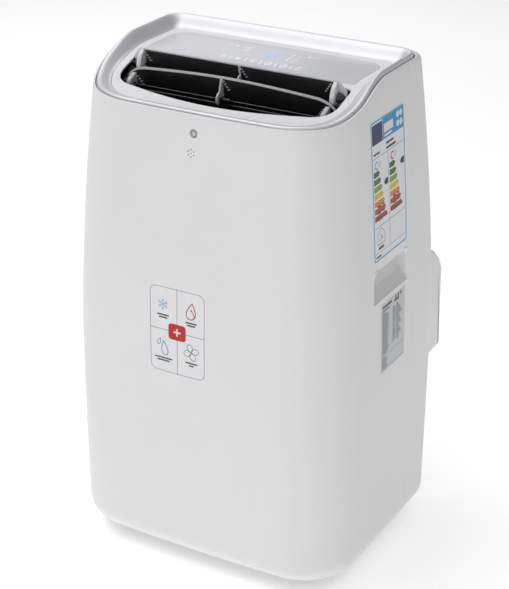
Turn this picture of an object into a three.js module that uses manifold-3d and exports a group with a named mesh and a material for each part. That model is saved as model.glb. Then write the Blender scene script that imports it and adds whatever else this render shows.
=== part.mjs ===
// Portable air conditioner: a tapered two-shell casing on four castors, with two open louvers on top.
// Millimetres, +Z up, the front faces -Y, +X is the side with the energy label.
import * as THREE from 'three';
import { mergeVertices } from 'three/addons/utils/BufferGeometryUtils.js';
import { ParametricGeometry } from 'three/addons/geometries/ParametricGeometry.js';
import Module from 'manifold-3d';

const wasm = await Module();
wasm.setup();

// ---------------------------------------------------------------- driving dimensions

const HEIGHT = 765;                 // floor to the top rim at the back
const BELLY_Z = 300;                // height where the casing is widest
const TAPER_POWER = 1.75;           // how the casing narrows above the belly
const HALF_WIDTH = { belly: 233.5, top: 208.5, foot: 230 };
const FRONT = { belly: 180.5, top: 157.6, foot: 181 };
const REAR = { belly: 169, top: 138, foot: 175 };
const FRONT_CORNER = { foot: 86, top: 102 };
const REAR_CORNER = { foot: 46, top: 33 };
const FRONT_BOW = 7.5;              // the front bulges this much at its middle
const WALL = 2.8;                   // casing wall
const GAP = 0.4;                    // clearance between neighbouring pieces
const SEAM_Y = 72;                  // side seam between front and rear cover
const FOOT_Z = 20;                  // underside of the casing
const FOOT_RADIUS = 34;             // tuck-in along the bottom edge
const FOOT_ANGLE = 75;              // degrees of that radius that are used

const RIM_FRONT_Z = 720.5;          // rim height at the front
const RIM_RISE = 45;                // rise of the rim to the back
const SLOPE_START_Y = -132;         // where the rise begins
const SLOPE_LENGTH = 140;           // how long the rise is in Y
const FRAME_INSET = 4.3;            // outer face of the top frame, in from the casing's skin
const FRAME_REAR_INSET = 19;
const BAND = 20.5;                  // width of the dished silver band
const REAR_BAND = 26;
const PANEL_FRONT_Z = 717.5;        // top panel height at the front
const PANEL_RISE = 33;
const PANEL_WALL = 3;

const OPENING = { half: 173, rear: -27, side: -62, front: -117 };
const OVERLAY = { half: 170, front: -16, rear: 82, frontCorner: 4, rearCorner: 30, depth: 1.2 };

const OPEN_ANGLE = 100;             // louvers stand open by this much, degrees
const FRONT_PIVOT = { y: -73.6, z: 715.5 };
const REAR_PIVOT = { y: -42.3, z: 735.2 };
const CRANK = { radius: 9, shut: 350 };
const LOUVER_GAP = 2.6;             // running gap between a louver and the outlet's edge
const END_ARMS = [[-160, -151], [151, 160]];
// Each louver when shut: its span in Y, and where its middle arm and the post beside it stand.
const FRONT_LOUVER = {
  pivot: FRONT_PIVOT, y0: -104, y1: -70, hub: 10.2, arm: [-10.4, -7.6], post: [-6.9, -3.9],
};
const REAR_LOUVER = { pivot: REAR_PIVOT, y0: -65, y1: -27, hub: 9, arm: [4.6, 7.4], post: [0.9, 3.9] };
const RECEIVER = { x: 3.5, z: 694 };
const SOUNDER = { z: 666, ring: 5.2, hole: 1.1 };

const DUCT = { margin: 4.6, floor: 652, wall: 2 };

const GRIP = { front: -56, rear: 50, low: 447, high: 494, depth: 24 };
const HOOD = { x0: 39, x1: 219, low: 262, axisX: 129, axisZ: 337, bore: 61 };
const UPPER_WINDOW = { half: 170, low: 480, high: 690 };
const LOWER_WINDOW = { half: 170, low: 74, high: 226 };

const CASTOR = { x: 150, front: -95, rear: 90, radius: 17, width: 14, trail: 12, well: 36, ceiling: 44 };
const PARTITION_Z = 452;

// ---------------------------------------------------------------- small tools

const rad = THREE.MathUtils.degToRad;
const lerp = THREE.MathUtils.lerp;
const TO_X = new THREE.Matrix4().makeBasis(
  new THREE.Vector3(0, 1, 0), new THREE.Vector3(0, 0, 1), new THREE.Vector3(1, 0, 0));
const TO_Y = new THREE.Matrix4().makeBasis(
  new THREE.Vector3(1, 0, 0), new THREE.Vector3(0, 0, 1), new THREE.Vector3(0, -1, 0));

// A closed geometry as a solid that can be joined and cut.
function solid(geometry) {
  const bare = geometry.clone();
  bare.deleteAttribute('normal');
  bare.deleteAttribute('uv');
  const merged = mergeVertices(bare, 1e-3);
  const index = merged.index.array;
  const kept = [];
  for (let i = 0; i < index.length; i += 3) {
    const [a, b, c] = [index[i], index[i + 1], index[i + 2]];
    if (a !== b && b !== c && c !== a) kept.push(a, b, c);
  }
  const build = (corners) => new wasm.Manifold(new wasm.Mesh({
    numProp: 3,
    vertProperties: Float32Array.from(merged.attributes.position.array),
    triVerts: Uint32Array.from(corners),
  }));
  const body = build(kept);
  return body.volume() > 0 ? body : build(kept.reverse());
}

function join(first, ...others) {
  return others.reduce((sum, other) => sum.add(other), first);
}

function cut(first, ...others) {
  return others.reduce((rest, other) => rest.subtract(other), first);
}

function toShape(outline) {
  if (outline instanceof THREE.Shape) return outline;
  return new THREE.Shape(outline.map(([a, b]) => new THREE.Vector2(a, b)));
}

function extrude(outline, depth) {
  return new THREE.ExtrudeGeometry(toShape(outline), { depth, bevelEnabled: false, curveSegments: 6 });
}

// Outline in X and Y, extruded from z0 to z1.
function prismZ(outline, z0, z1) {
  return solid(extrude(outline, z1 - z0).translate(0, 0, z0));
}

// Outline in Y and Z, extruded from x0 to x1.
function prismX(outline, x0, x1) {
  return solid(extrude(outline, x1 - x0).applyMatrix4(TO_X).translate(x0, 0, 0));
}

// Outline in X and Z, extruded from y0 to y1.
function prismY(outline, y0, y1) {
  return solid(extrude(outline, y1 - y0).applyMatrix4(TO_Y).translate(0, y1, 0));
}

function box(x0, x1, y0, y1, z0, z1) {
  const geometry = new THREE.BoxGeometry(x1 - x0, y1 - y0, z1 - z0);
  return solid(geometry.translate((x0 + x1) / 2, (y0 + y1) / 2, (z0 + z1) / 2));
}

// Turn a piece made along Y so that it lies along the named axis.
function lay(geometry, axis) {
  if (axis === 'x') geometry.rotateZ(-Math.PI / 2);
  if (axis === 'z') geometry.rotateX(Math.PI / 2);
  return geometry;
}

// A round bar along an axis, from one end to the other, about (a, b) on the two other axes.
function bar(axis, a, b, from, to, radius, segments = 12) {
  const geometry = lay(new THREE.CylinderGeometry(radius, radius, to - from, segments), axis);
  const middle = (from + to) / 2;
  if (axis === 'x') geometry.translate(middle, a, b);
  if (axis === 'y') geometry.translate(a, middle, b);
  if (axis === 'z') geometry.translate(a, b, middle);
  return solid(geometry);
}

// A turned piece: profile of [radius, height] pairs about an axis through (a, b).
function turned(axis, a, b, profile, segments = 16) {
  const points = profile.map(([r, h]) => new THREE.Vector2(r, h));
  const closed = profile[0][0] > 0 ? [...points, points[0].clone()] : points;
  const geometry = new THREE.LatheGeometry(closed, segments);
  if (axis === 'x') geometry.rotateZ(-Math.PI / 2).translate(0, a, b);
  if (axis === 'y') geometry.translate(a, 0, b);
  if (axis === 'z') geometry.rotateX(Math.PI / 2).translate(a, b, 0);
  return solid(geometry);
}

// A tube along a smooth curve through the given points.
function pipe(points, radius, steps, roundness = 3) {
  const corners = points.map(([x, y, z]) => new THREE.Vector3(x, y, z));
  const extrudePath = new THREE.CatmullRomCurve3(corners, false, 'centripetal');
  const section = new THREE.Shape();
  section.absarc(0, 0, radius, 0, 2 * Math.PI, false);
  const options = { steps, extrudePath, curveSegments: roundness, bevelEnabled: false };
  return solid(new THREE.ExtrudeGeometry(section, options));
}

// A rectangle with rounded corners: one radius for the two low ones, one for the two high ones.
function roundedRect(x0, x1, y0, y1, low, high = low) {
  const shape = new THREE.Shape();
  shape.moveTo(x0 + low, y0);
  shape.lineTo(x1 - low, y0);
  shape.absarc(x1 - low, y0 + low, low, -Math.PI / 2, 0, false);
  shape.lineTo(x1, y1 - high);
  shape.absarc(x1 - high, y1 - high, high, 0, Math.PI / 2, false);
  shape.lineTo(x0 + high, y1);
  shape.absarc(x0 + high, y1 - high, high, Math.PI / 2, Math.PI, false);
  shape.lineTo(x0, y0 + low);
  shape.absarc(x0 + low, y0 + low, low, Math.PI, 1.5 * Math.PI, false);
  return shape;
}

const group = new THREE.Group();

const FINISH = {
  white: [0xe6e7e8, 0.35, 0],
  silver: [0xb9bbbf, 0.3, 0.8],
  lightGrey: [0xc3c5c9, 0.2, 0],
  black: [0x0b0b0c, 0.35, 0],
  darkGrey: [0x3a3c3f, 0.5, 0],
  smoked: [0x2a2228, 0.1, 0],
  steel: [0x9a9da0, 0.4, 0.9],
  painted: [0x17181a, 0.4, 0.2],
  copper: [0xb8683a, 0.35, 1],
  fins: [0xc8ccd0, 0.45, 0.9],
  foam: [0xd8dadc, 0.7, 0],
  rubber: [0x1c1c1d, 0.9, 0],
  board: [0x1d5a38, 0.5, 0],
};

// Put a finished piece into the model under its own name.
function add(name, piece, finish) {
  const { vertProperties, triVerts } = piece.getMesh();
  const geometry = new THREE.BufferGeometry();
  geometry.setAttribute('position', new THREE.BufferAttribute(Float32Array.from(vertProperties), 3));
  geometry.setIndex(new THREE.BufferAttribute(Uint32Array.from(triVerts), 1));
  geometry.computeVertexNormals();
  const [color, roughness, metalness] = FINISH[finish];
  const mesh = new THREE.Mesh(geometry, new THREE.MeshStandardMaterial({ color, roughness, metalness }));
  mesh.name = name;
  group.add(mesh);
}

// ---------------------------------------------------------------- the casing's form

// Reach of the casing from its middle at height z, for width, front or rear.
function reach(side, z) {
  if (z < BELLY_Z) return side.belly + (side.foot - side.belly) * ((BELLY_Z - z) / BELLY_Z) ** 2;
  return side.belly - (side.belly - side.top) * ((z - BELLY_Z) / (HEIGHT - BELLY_Z)) ** TAPER_POWER;
}

function rise(y) {
  return THREE.MathUtils.smoothstep(y, SLOPE_START_Y, SLOPE_START_Y + SLOPE_LENGTH);
}

const rimZ = (y) => RIM_FRONT_Z + RIM_RISE * rise(y);
const panelZ = (y) => PANEL_FRONT_Z + PANEL_RISE * rise(y);
const rearness = (y) => THREE.MathUtils.smoothstep(y, 70, 112);

// Stations round the plan outline, anticlockwise from the front: kx and ky place the corner's
// centre between the four corner centres, nx and ny point outwards.
function makeStations(frontSteps = 4, cornerSteps = 5, sideSteps = 2, rearSteps = 1) {
  const list = [];
  const straight = (count, place, nx, ny) => {
    for (let i = 1; i < count; i += 1) list.push({ ...place(i / count), nx, ny });
  };
  const corner = (kx, ky, from) => {
    for (let i = 0; i <= cornerSteps; i += 1) {
      const angle = rad(from + (90 * i) / cornerSteps);
      list.push({ kx, ky, nx: Math.cos(angle), ny: Math.sin(angle) });
    }
  };
  straight(frontSteps, (t) => ({ kx: 2 * t - 1, ky: 0 }), 0, -1);
  corner(1, 0, -90);
  straight(sideSteps, (t) => ({ kx: 1, ky: t }), 1, 0);
  corner(1, 1, 0);
  straight(rearSteps, (t) => ({ kx: 1 - 2 * t, ky: 1 }), 0, 1);
  corner(-1, 1, 90);
  straight(sideSteps, (t) => ({ kx: -1, ky: 1 - t }), -1, 0);
  corner(-1, 0, 180);
  return list;
}

const STATIONS = makeStations();

// Point of the plan outline at one station and height, moved in by an inset (rear may differ).
function outlinePoint(station, z, inset, rearInset = inset) {
  const width = reach(HALF_WIDTH, z) - inset;
  const front = reach(FRONT, z) - inset;
  const rear = reach(REAR, z) - rearInset;
  const frontRadius = Math.max(lerp(FRONT_CORNER.foot, FRONT_CORNER.top, z / HEIGHT) - inset, 4);
  const rearRadius = Math.max(lerp(REAR_CORNER.foot, REAR_CORNER.top, z / HEIGHT) - inset, 12);
  const radius = station.ky > 0.5 ? rearRadius : frontRadius;
  const x = station.kx * (width - radius) + radius * station.nx;
  const flat = lerp(-(front - frontRadius), rear - rearRadius, station.ky) + radius * station.ny;
  const bow = FRONT_BOW * (x / width) ** 2 * THREE.MathUtils.clamp((rear - flat) / (rear + front), 0, 1);
  return new THREE.Vector3(x, flat + bow, z);
}

// The same where the height is itself a function of y.
function skinPoint(station, { inset, rear = inset, z }) {
  if (typeof z === 'number') return outlinePoint(station, z, inset, rear);
  let point = outlinePoint(station, z(0), inset, rear);
  for (let i = 0; i < 4; i += 1) point = outlinePoint(station, z(point.y), inset, rear);
  return point;
}

// A closed section, given as insets and heights, carried all the way round the casing.
function carryRound(section) {
  const around = STATIONS.length;
  const up = section.length;
  const place = (u, v, target) => {
    const station = STATIONS[Math.round(u * around) % around];
    target.copy(skinPoint(station, section[Math.round(v * up) % up]));
  };
  return solid(new ParametricGeometry(place, around, up));
}

// The plan outline at a height, which may be a function of y.
function planShape(z, inset, rear = inset) {
  return new THREE.Shape(STATIONS.map((station) => {
    const point = skinPoint(station, { inset, rear, z });
    return new THREE.Vector2(point.x, point.y);
  }));
}

const WALL_LEVELS = [180, 300, 420, 530, 640];

// Heights of one casing wall from the foot to the rim, moved in by an inset.
function wallPoints(inset) {
  const points = [];
  const centre = FOOT_Z + FOOT_RADIUS * Math.sin(rad(FOOT_ANGLE));
  const radius = FOOT_RADIUS - inset;
  for (let i = 0; i <= 3; i += 1) {
    const angle = rad(FOOT_ANGLE * (1 - i / 3));
    points.push({ inset: inset + radius * (1 - Math.cos(angle)), z: centre - radius * Math.sin(angle) });
  }
  for (const z of WALL_LEVELS) points.push({ inset, z });
  return points;
}

const rimDrop = (y) => 1 + 3 * rise(y);
const outerRim = (y) => rimZ(y) - rimDrop(y) - lerp(1.2, 9, rearness(y));
const midRim = (y) => rimZ(y) - rimDrop(y) - lerp(0.3, 2.4, rearness(y));
const topRim = (y) => rimZ(y) - rimDrop(y);

function makeCasing() {
  const lip = FRAME_REAR_INSET - 3;
  const section = [
    ...wallPoints(0),
    { inset: 0, z: outerRim },
    { inset: 0.5, rear: 3.2, z: midRim },
    { inset: 1.6, rear: 9, z: topRim },
    { inset: WALL, rear: lip, z: topRim },
    { inset: WALL, rear: lip, z: (y) => topRim(y) - 2.6 },
    { inset: WALL, rear: lerp(WALL, lip, 0.3), z: (y) => topRim(y) - lerp(4, 6.5, rearness(y)) },
    { inset: WALL, z: (y) => topRim(y) - lerp(6, 14, rearness(y)) },
    ...wallPoints(WALL).reverse(),
  ];
  return carryRound(section);
}

// A thick band just inside (or outside) the casing's skin, used to trim what lies in its wall.
function skinBand(inset, thickness) {
  const levels = [60, ...WALL_LEVELS, 745];
  const outer = levels.map((z) => ({ inset, z }));
  const inner = levels.map((z) => ({ inset: inset + thickness, z })).reverse();
  return carryRound([...outer, ...inner]);
}

// A slab between two heights over the panel's sloping surface.
function panelSlab(below, above, halfWidth) {
  const steps = 14;
  const outline = [];
  for (let i = 0; i <= steps; i += 1) {
    const y = lerp(-165, 150, i / steps);
    outline.push([y, panelZ(y) + above]);
  }
  for (let i = steps; i >= 0; i -= 1) {
    const y = lerp(-165, 150, i / steps);
    outline.push([y, panelZ(y) + below]);
  }
  return prismX(outline, -halfWidth, halfWidth);
}

// The air outlet's D-shaped outline seen from above, grown by an offset.
function openingShape(offset) {
  const half = OPENING.half + offset;
  const rear = OPENING.rear + offset;
  const front = OPENING.front - offset;
  const shape = new THREE.Shape();
  shape.moveTo(-half, OPENING.side);
  shape.quadraticCurveTo(-half, OPENING.side - 34, -half + 38, OPENING.side - 38 - offset);
  shape.quadraticCurveTo(-half / 3, front, 0, front);
  shape.quadraticCurveTo(half / 3, front, half - 38, OPENING.side - 38 - offset);
  shape.quadraticCurveTo(half, OPENING.side - 34, half, OPENING.side);
  shape.lineTo(half, rear - 10);
  shape.quadraticCurveTo(half, rear, half - 10, rear);
  shape.lineTo(-half + 10, rear);
  shape.quadraticCurveTo(-half, rear, -half, rear - 10);
  return shape;
}

// ---------------------------------------------------------------- outer shells

const gripOutline = (grow) => {
  const radius = 14 + grow;
  return roundedRect(GRIP.front - grow, GRIP.rear + grow, GRIP.low - 30, GRIP.high + grow, radius);
};

// The scoop under one hand: deep at its top, running out flush at its lower edge.
function gripWedge(side, grow) {
  const skin = reach(HALF_WIDTH, GRIP.low);
  const outline = [
    [side * (skin + 12), GRIP.low - grow],
    [side * (skin + 12), GRIP.high + grow],
    [side * (skin - GRIP.depth - grow), GRIP.high + grow],
    [side * (skin - GRIP.depth - grow), GRIP.high - 8],
    [side * (skin - 14 - grow), GRIP.low + 16],
    [side * (skin - grow), GRIP.low - grow],
  ];
  if (side < 0) outline.reverse();
  const from = Math.min(side * (skin - 60), side * (skin + 20));
  const sideView = prismX(gripOutline(grow), from, from + 80);
  return prismY(outline, GRIP.front - 20, GRIP.rear + 20).intersect(sideView);
}

const casing = makeCasing();
const hoodHole = box(HOOD.axisX - 66, HOOD.axisX + 66, 120, 200, HOOD.axisZ - 60, HOOD.axisZ + 60);

function makeFrontCover() {
  let cover = casing.subtract(box(-300, 300, SEAM_Y - GAP / 2, 300, 0, 900));
  const inWall = skinBand(0.2, 40);
  for (const side of [-1, 1]) {
    const hollow = gripWedge(side, 0);
    const lining = gripWedge(side, 2.4).subtract(hollow).intersect(inWall);
    cover = cover.add(lining).subtract(hollow);
  }
  cover = cover.subtract(bar('y', RECEIVER.x, RECEIVER.z, -190, -140, 5.4, 16));
  for (let i = 0; i < 7; i += 1) {
    const radius = i < 6 ? SOUNDER.ring : 0;
    const [x, z] = [radius * Math.sin(rad(60 * i)), SOUNDER.z + radius * Math.cos(rad(60 * i))];
    cover = cover.subtract(bar('y', x, z, -190, -140, SOUNDER.hole, 6));
  }
  return cover;
}

function makeRearCover() {
  let cover = casing.subtract(box(-300, 300, -300, SEAM_Y + GAP / 2, 0, 900));
  for (const window of [UPPER_WINDOW, LOWER_WINDOW]) {
    const hole = roundedRect(-window.half - 1, window.half + 1, window.low - 1, window.high + 1, 9);
    cover = cover.subtract(prismY(hole, 100, 220));
  }
  cover = cut(cover, hoodHole);
  cover = cover.subtract(bar('y', -150, 300, 120, 220, 9, 14));
  cover = cover.subtract(bar('y', -100, 400, 120, 220, 8.2, 12));
  return cover.subtract(bar('y', -60, 58, 120, 220, 8.2, 12));
}

add('front_cover', makeFrontCover(), 'white');
add('rear_cover', makeRearCover(), 'white');

// Dished ring round the top: skirt, rounded crest, sloping band, ledge for the panel.
function makeTopFrame() {
  const outer = FRAME_INSET;
  const outerRear = FRAME_REAR_INSET;
  const inner = outer + BAND;
  const innerRear = outerRear + REAR_BAND;
  const section = [
    { inset: outer, rear: outerRear, z: (y) => rimZ(y) - 9 },
    { inset: outer, rear: outerRear, z: (y) => rimZ(y) + 0.6 },
    { inset: outer + 0.9, rear: outerRear + 0.9, z: (y) => rimZ(y) + 1.8 },
    { inset: outer + 2.6, rear: outerRear + 2.6, z: (y) => rimZ(y) + 2.2 },
    { inset: outer + 5.5, rear: outerRear + 5.5, z: (y) => lerp(rimZ(y) + 2.2, panelZ(y), 0.12) },
    { inset: outer + 12.3, rear: outerRear + 15.6, z: (y) => lerp(rimZ(y) + 2.2, panelZ(y), 0.52) },
    { inset: inner, rear: innerRear, z: (y) => panelZ(y) },
    { inset: inner, rear: innerRear, z: (y) => panelZ(y) - PANEL_WALL - GAP },
    { inset: inner + 3, rear: innerRear + 3, z: (y) => panelZ(y) - PANEL_WALL - GAP },
    { inset: inner + 3, rear: innerRear + 3, z: (y) => panelZ(y) - PANEL_WALL - 2.4 },
    { inset: inner - 2, rear: innerRear - 2, z: (y) => panelZ(y) - PANEL_WALL - 2.4 },
    { inset: outer + 2.6, rear: outerRear + 2.6, z: (y) => rimZ(y) - 3.4 },
    { inset: outer + 2.2, rear: outerRear + 2.2, z: (y) => rimZ(y) - 9 },
  ];
  return carryRound(section);
}
add('top_frame', makeTopFrame(), 'silver');

const panelEdge = FRAME_INSET + BAND + GAP;
const panelRearEdge = FRAME_REAR_INSET + REAR_BAND + GAP;

function overlayShape(inset) {
  const { half, front, rear, frontCorner, rearCorner } = OVERLAY;
  const [low, high] = [frontCorner - inset, rearCorner - inset];
  return roundedRect(-half + inset, half - inset, front + inset, rear - inset, low, high);
}

// White plate with the outlet, a shallow recess for the overlay and a window for the display.
function makeTopPanel() {
  const outline = prismZ(planShape(panelZ, panelEdge, panelRearEdge), 690, 780);
  const plate = outline.intersect(panelSlab(-PANEL_WALL, 0, 230));
  const outlet = prismZ(openingShape(0), 690, 780);
  const recess = prismZ(overlayShape(0), 690, 780).intersect(panelSlab(-OVERLAY.depth, 20, 230));
  return cut(plate, outlet, recess, box(-34, 34, 24, 66, 700, 780));
}
add('top_panel', makeTopPanel(), 'white');

const overlayPlate = prismZ(overlayShape(GAP), 690, 780).intersect(panelSlab(0.2 - OVERLAY.depth, 0.1, 230));
add('control_overlay', overlayPlate, 'lightGrey');
add('control_board', box(-120, 120, -8, 74, 737, 739), 'board');
add('display_module', box(-26, 26, 28, 62, 739.3, 745.5), 'black');

function makeReceiverLens() {
  const { x, z } = RECEIVER;
  const y = -reach(FRONT, z);
  return turned('y', x, z, [[0, y + 6], [5, y + 6], [5, y + 0.4], [3.6, y - 0.3], [0, y - 0.6]], 12);
}
add('receiver_lens', makeReceiverLens(), 'smoked');

// ---------------------------------------------------------------- air outlet and louvers

const SCROLL_MOUTH = [24, 73];

function makeDuct() {
  const { margin, floor, wall } = DUCT;
  const outside = prismZ(openingShape(margin + wall), floor - wall, 760);
  const inside = prismZ(openingShape(margin), floor, 780);
  const mouth = box(SCROLL_MOUTH[0], SCROLL_MOUTH[1], -98, OPENING.rear - 2, floor - 10, floor + 10);
  const under = panelSlab(-120, -PANEL_WALL - GAP, 230);
  const frontOutline = [[-82, floor - 1], [-66, floor - 1], [-69, 718], [-78, 718]];
  const rearOutline = [
    [-58, floor - 1], [-46, floor - 1], [-41.2, 722], [-40.6, 736.2], [-46, 735.4], [-52, 722],
  ];
  const posts = [prismX(frontOutline, ...FRONT_LOUVER.post), prismX(rearOutline, ...REAR_LOUVER.post)];
  const duct = join(cut(outside, inside, mouth), ...posts).intersect(under);
  const bores = [FRONT_PIVOT, REAR_PIVOT].map(({ y, z }) => bar('x', y, z, -200, 200, 2.5, 8));
  const slot = box(-200, 200, REAR_PIVOT.y - 2, REAR_PIVOT.y + 2, REAR_PIVOT.z, 745);
  return cut(duct, ...bores, slot);
}
add('outlet_duct', makeDuct(), 'black');

// Plan of the front louver's curved edge; an open slot stays between it and the outlet's edge.
function frontLouverShape() {
  const half = OPENING.half - LOUVER_GAP;
  const shape = new THREE.Shape();
  shape.moveTo(-half, -60);
  shape.lineTo(-half, -72);
  shape.quadraticCurveTo(-half, -91, -half + 30, -98);
  shape.quadraticCurveTo(-half / 3, FRONT_LOUVER.y0, 0, FRONT_LOUVER.y0);
  shape.quadraticCurveTo(half / 3, FRONT_LOUVER.y0, half - 30, -98);
  shape.quadraticCurveTo(half, -91, half, -72);
  shape.lineTo(half, -60);
  return shape;
}

// Plan of the rear louver: its two front corners are cut off.
function rearLouverShape() {
  const half = OPENING.half;
  return [[-half, -20], [-half, -50], [-half + 13, -66], [half - 13, -66], [half, -50], [half, -20]];
}

// Plan of one louver with a running gap to the outlet, moved in by an inset at front and rear.
function louverPlan(shape, { y0, y1 }, inset) {
  const outlet = prismZ(openingShape(-LOUVER_GAP), 690, 780);
  const band = box(-200, 200, y0 + inset, y1 - inset, 690, 780);
  return outlet.intersect(prismZ(shape, 690, 780)).intersect(band);
}

// Turn a piece modelled shut into its open rest place, about its pivot.
function openUp(piece, pivot) {
  const turned = piece.translate([0, -pivot.y, -pivot.z]).rotate([-OPEN_ANGLE, 0, 0]);
  return turned.translate([0, pivot.y, pivot.z]);
}

const crankPoint = (pivot, angle) => ({
  y: pivot.y + CRANK.radius * Math.cos(rad(angle)),
  z: pivot.z + CRANK.radius * Math.sin(rad(angle)),
});

// Outer skin of one louver: a thin plate that lies flush in the panel when shut.
function makeLouverSkin(shape, louver) {
  return openUp(louverPlan(shape, louver, 0).intersect(panelSlab(-1.3, 0, 230)), louver.pivot);
}

// Side view of one louver's arm when shut: a hub at the pivot, widened under the liner by a web.
function louverArm([x0, x1], { pivot, hub }, web) {
  const underSkin = panelSlab(-60, -1.9, 230);
  const room = box(-200, 200, -200, pivot.y + 11, 600, 800);
  const round = bar('x', pivot.y, pivot.z, x0, x1, hub, 12).intersect(room);
  return join(round, prismX(web, x0, x1)).intersect(underSkin);
}

// Inner frame of one louver: liner, arms at the ends and the middle, shafts and crank pin.
function makeLouverFrame(shape, louver, web, endWeb) {
  const { pivot, arm } = louver;
  const width = box(-LINER_HALF, LINER_HALF, -200, 200, 600, 800);
  const liner = louverPlan(shape, louver, 1).intersect(panelSlab(-3.2, -1.6, 230)).intersect(width);
  const spans = [[-179.2, -150], [150, 179.2], [-10.6, 7.6]];
  const shafts = spans.map(([x0, x1]) => bar('x', pivot.y, pivot.z, x0, x1, 2, 8));
  const arms = END_ARMS.map((span) => louverArm(span, louver, endWeb));
  const middle = louverArm(arm, louver, web);
  const pin = crankPoint(pivot, CRANK.shut);
  const crank = join(bar('x', pin.y, pin.z, -174, -152, 2, 8), bar('x', pin.y, pin.z, -160, -152, 3, 8));
  return openUp(join(liner, crank, middle, ...arms, ...shafts), pivot);
}

// Side views of the arms when shut, in Y and Z; their tops are trimmed to the louver's under side.
const FRONT_WEB = [[-101, 718.5], [-76, 730], [-71, 730], [-69, 711], [-76, 707]];
const FRONT_END_WEB = [[-88, 720], [-76, 730], [-71, 730], [-69, 711], [-76, 707]];
const REAR_WEB = [[-64.4, 736], [-62.5, 727], [-57, 722], [-50, 719], [-42, 719], [-36, 722], [-34, 744]];
const LINER_HALF = 162;
const frontShape = frontLouverShape();
const rearShape = rearLouverShape();
add('front_louver_skin', makeLouverSkin(frontShape, FRONT_LOUVER), 'silver');
add('front_louver_frame', makeLouverFrame(frontShape, FRONT_LOUVER, FRONT_WEB, FRONT_END_WEB), 'black');
add('rear_louver_skin', makeLouverSkin(rearShape, REAR_LOUVER), 'silver');
add('rear_louver_frame', makeLouverFrame(rearShape, REAR_LOUVER, REAR_WEB, REAR_WEB), 'black');

// Bar that turns both louvers together; its rear eye is open wide round the pin.
function makeLink() {
  const front = crankPoint(FRONT_PIVOT, CRANK.shut - OPEN_ANGLE);
  const rear = crankPoint(REAR_PIVOT, CRANK.shut - OPEN_ANGLE);
  const length = Math.hypot(rear.y - front.y, rear.z - front.z);
  const angle = Math.atan2(rear.z - front.z, rear.y - front.y);
  const outline = roundedRect(-4, length + 4, -2.2, 2.2, 2);
  const strip = prismX(outline, -173.4, -171.8);
  const degrees = THREE.MathUtils.radToDeg(angle);
  const eyes = [0, length].map((y) => bar('x', y, 0, -173.4, -171.8, 4.2, 10));
  const holes = [bar('x', 0, 0, -180, -160, 2.5, 8), bar('x', length, 0, -180, -160, 2.9, 8)];
  return cut(join(strip, ...eyes), ...holes).rotate([degrees, 0, 0]).translate([0, front.y, front.z]);
}
add('louver_link', makeLink(), 'darkGrey');

function makeLouverMotor() {
  const offset = 8;
  const face = OPENING.half + DUCT.margin + DUCT.wall + GAP;
  const can = bar('x', FRONT_PIVOT.y, FRONT_PIVOT.z - offset, face, 196, 13, 14);
  return can.subtract(bar('x', FRONT_PIVOT.y, FRONT_PIVOT.z, 170, 190, 2.6));
}
add('louver_motor', makeLouverMotor(), 'steel');

// ---------------------------------------------------------------- base and castors

const castorPlaces = [
  { name: 'front_left', x: -CASTOR.x, y: CASTOR.front },
  { name: 'front_right', x: CASTOR.x, y: CASTOR.front },
  { name: 'rear_left', x: -CASTOR.x, y: CASTOR.rear },
  { name: 'rear_right', x: CASTOR.x, y: CASTOR.rear },
];

function makeBasePan() {
  const floor = FOOT_Z + 1;
  const top = 62;
  let pan = prismZ(planShape(40, 27.4), floor, top).subtract(prismZ(planShape(40, 31), floor + 3, top + 5));
  for (const { x, y } of castorPlaces) {
    pan = pan.add(bar('z', x, y, floor, CASTOR.ceiling + 3, CASTOR.well + 3, 16));
  }
  for (const { x, y } of castorPlaces) {
    pan = pan.subtract(bar('z', x, y, 0, CASTOR.ceiling, CASTOR.well, 16));
    pan = pan.subtract(bar('z', x, y, 0, 90, 4.5, 8));
  }
  return pan;
}
add('base_pan', makeBasePan(), 'darkGrey');

for (const { name, x, y } of castorPlaces) {
  const wheelY = y + CASTOR.trail;
  const half = CASTOR.width / 2;
  const cheek = new THREE.Shape();
  cheek.moveTo(y - 9, 40);
  cheek.lineTo(wheelY - 5, CASTOR.radius - 2);
  cheek.lineTo(wheelY - 3, CASTOR.radius - 5);
  cheek.lineTo(wheelY + 3, CASTOR.radius - 5);
  cheek.lineTo(wheelY + 5.4, CASTOR.radius - 1);
  cheek.lineTo(y + 13, 40);
  const sides = [-1, 1].map((side) => {
    const [x0, x1] = side > 0 ? [x + half + 0.6, x + half + 3.2] : [x - half - 3.2, x - half - 0.6];
    return prismX(cheek, x0, x1);
  });
  const plate = box(x - half - 3.2, x + half + 3.2, y - 9, y + 13, 38.5, 41.5);
  const stem = turned('z', x, y, [[0, 39], [12, 39], [12, 43], [4, 43], [4, 52], [0, 52]], 8);
  const fork = join(plate, stem, ...sides).subtract(bar('x', wheelY, CASTOR.radius, x - 20, x + 20, 2.8, 8));
  add(`castor_fork_${name}`, fork, 'darkGrey');
  const tyre = [
    [2.9, x - half], [15.6, x - half], [17, x - half + 2],
    [17, x + half - 2], [15.6, x + half], [2.9, x + half],
  ];
  add(`castor_wheel_${name}`, turned('x', wheelY, CASTOR.radius, tyre, 16), 'rubber');
  add(`castor_axle_${name}`, bar('x', wheelY, CASTOR.radius, x - half - 4, x + half + 4, 2.5, 8), 'steel');
}

// ---------------------------------------------------------------- cooling circuit

const COMPRESSOR = { x: -122, y: 0, radius: 56, low: 92, high: 300 };

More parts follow.
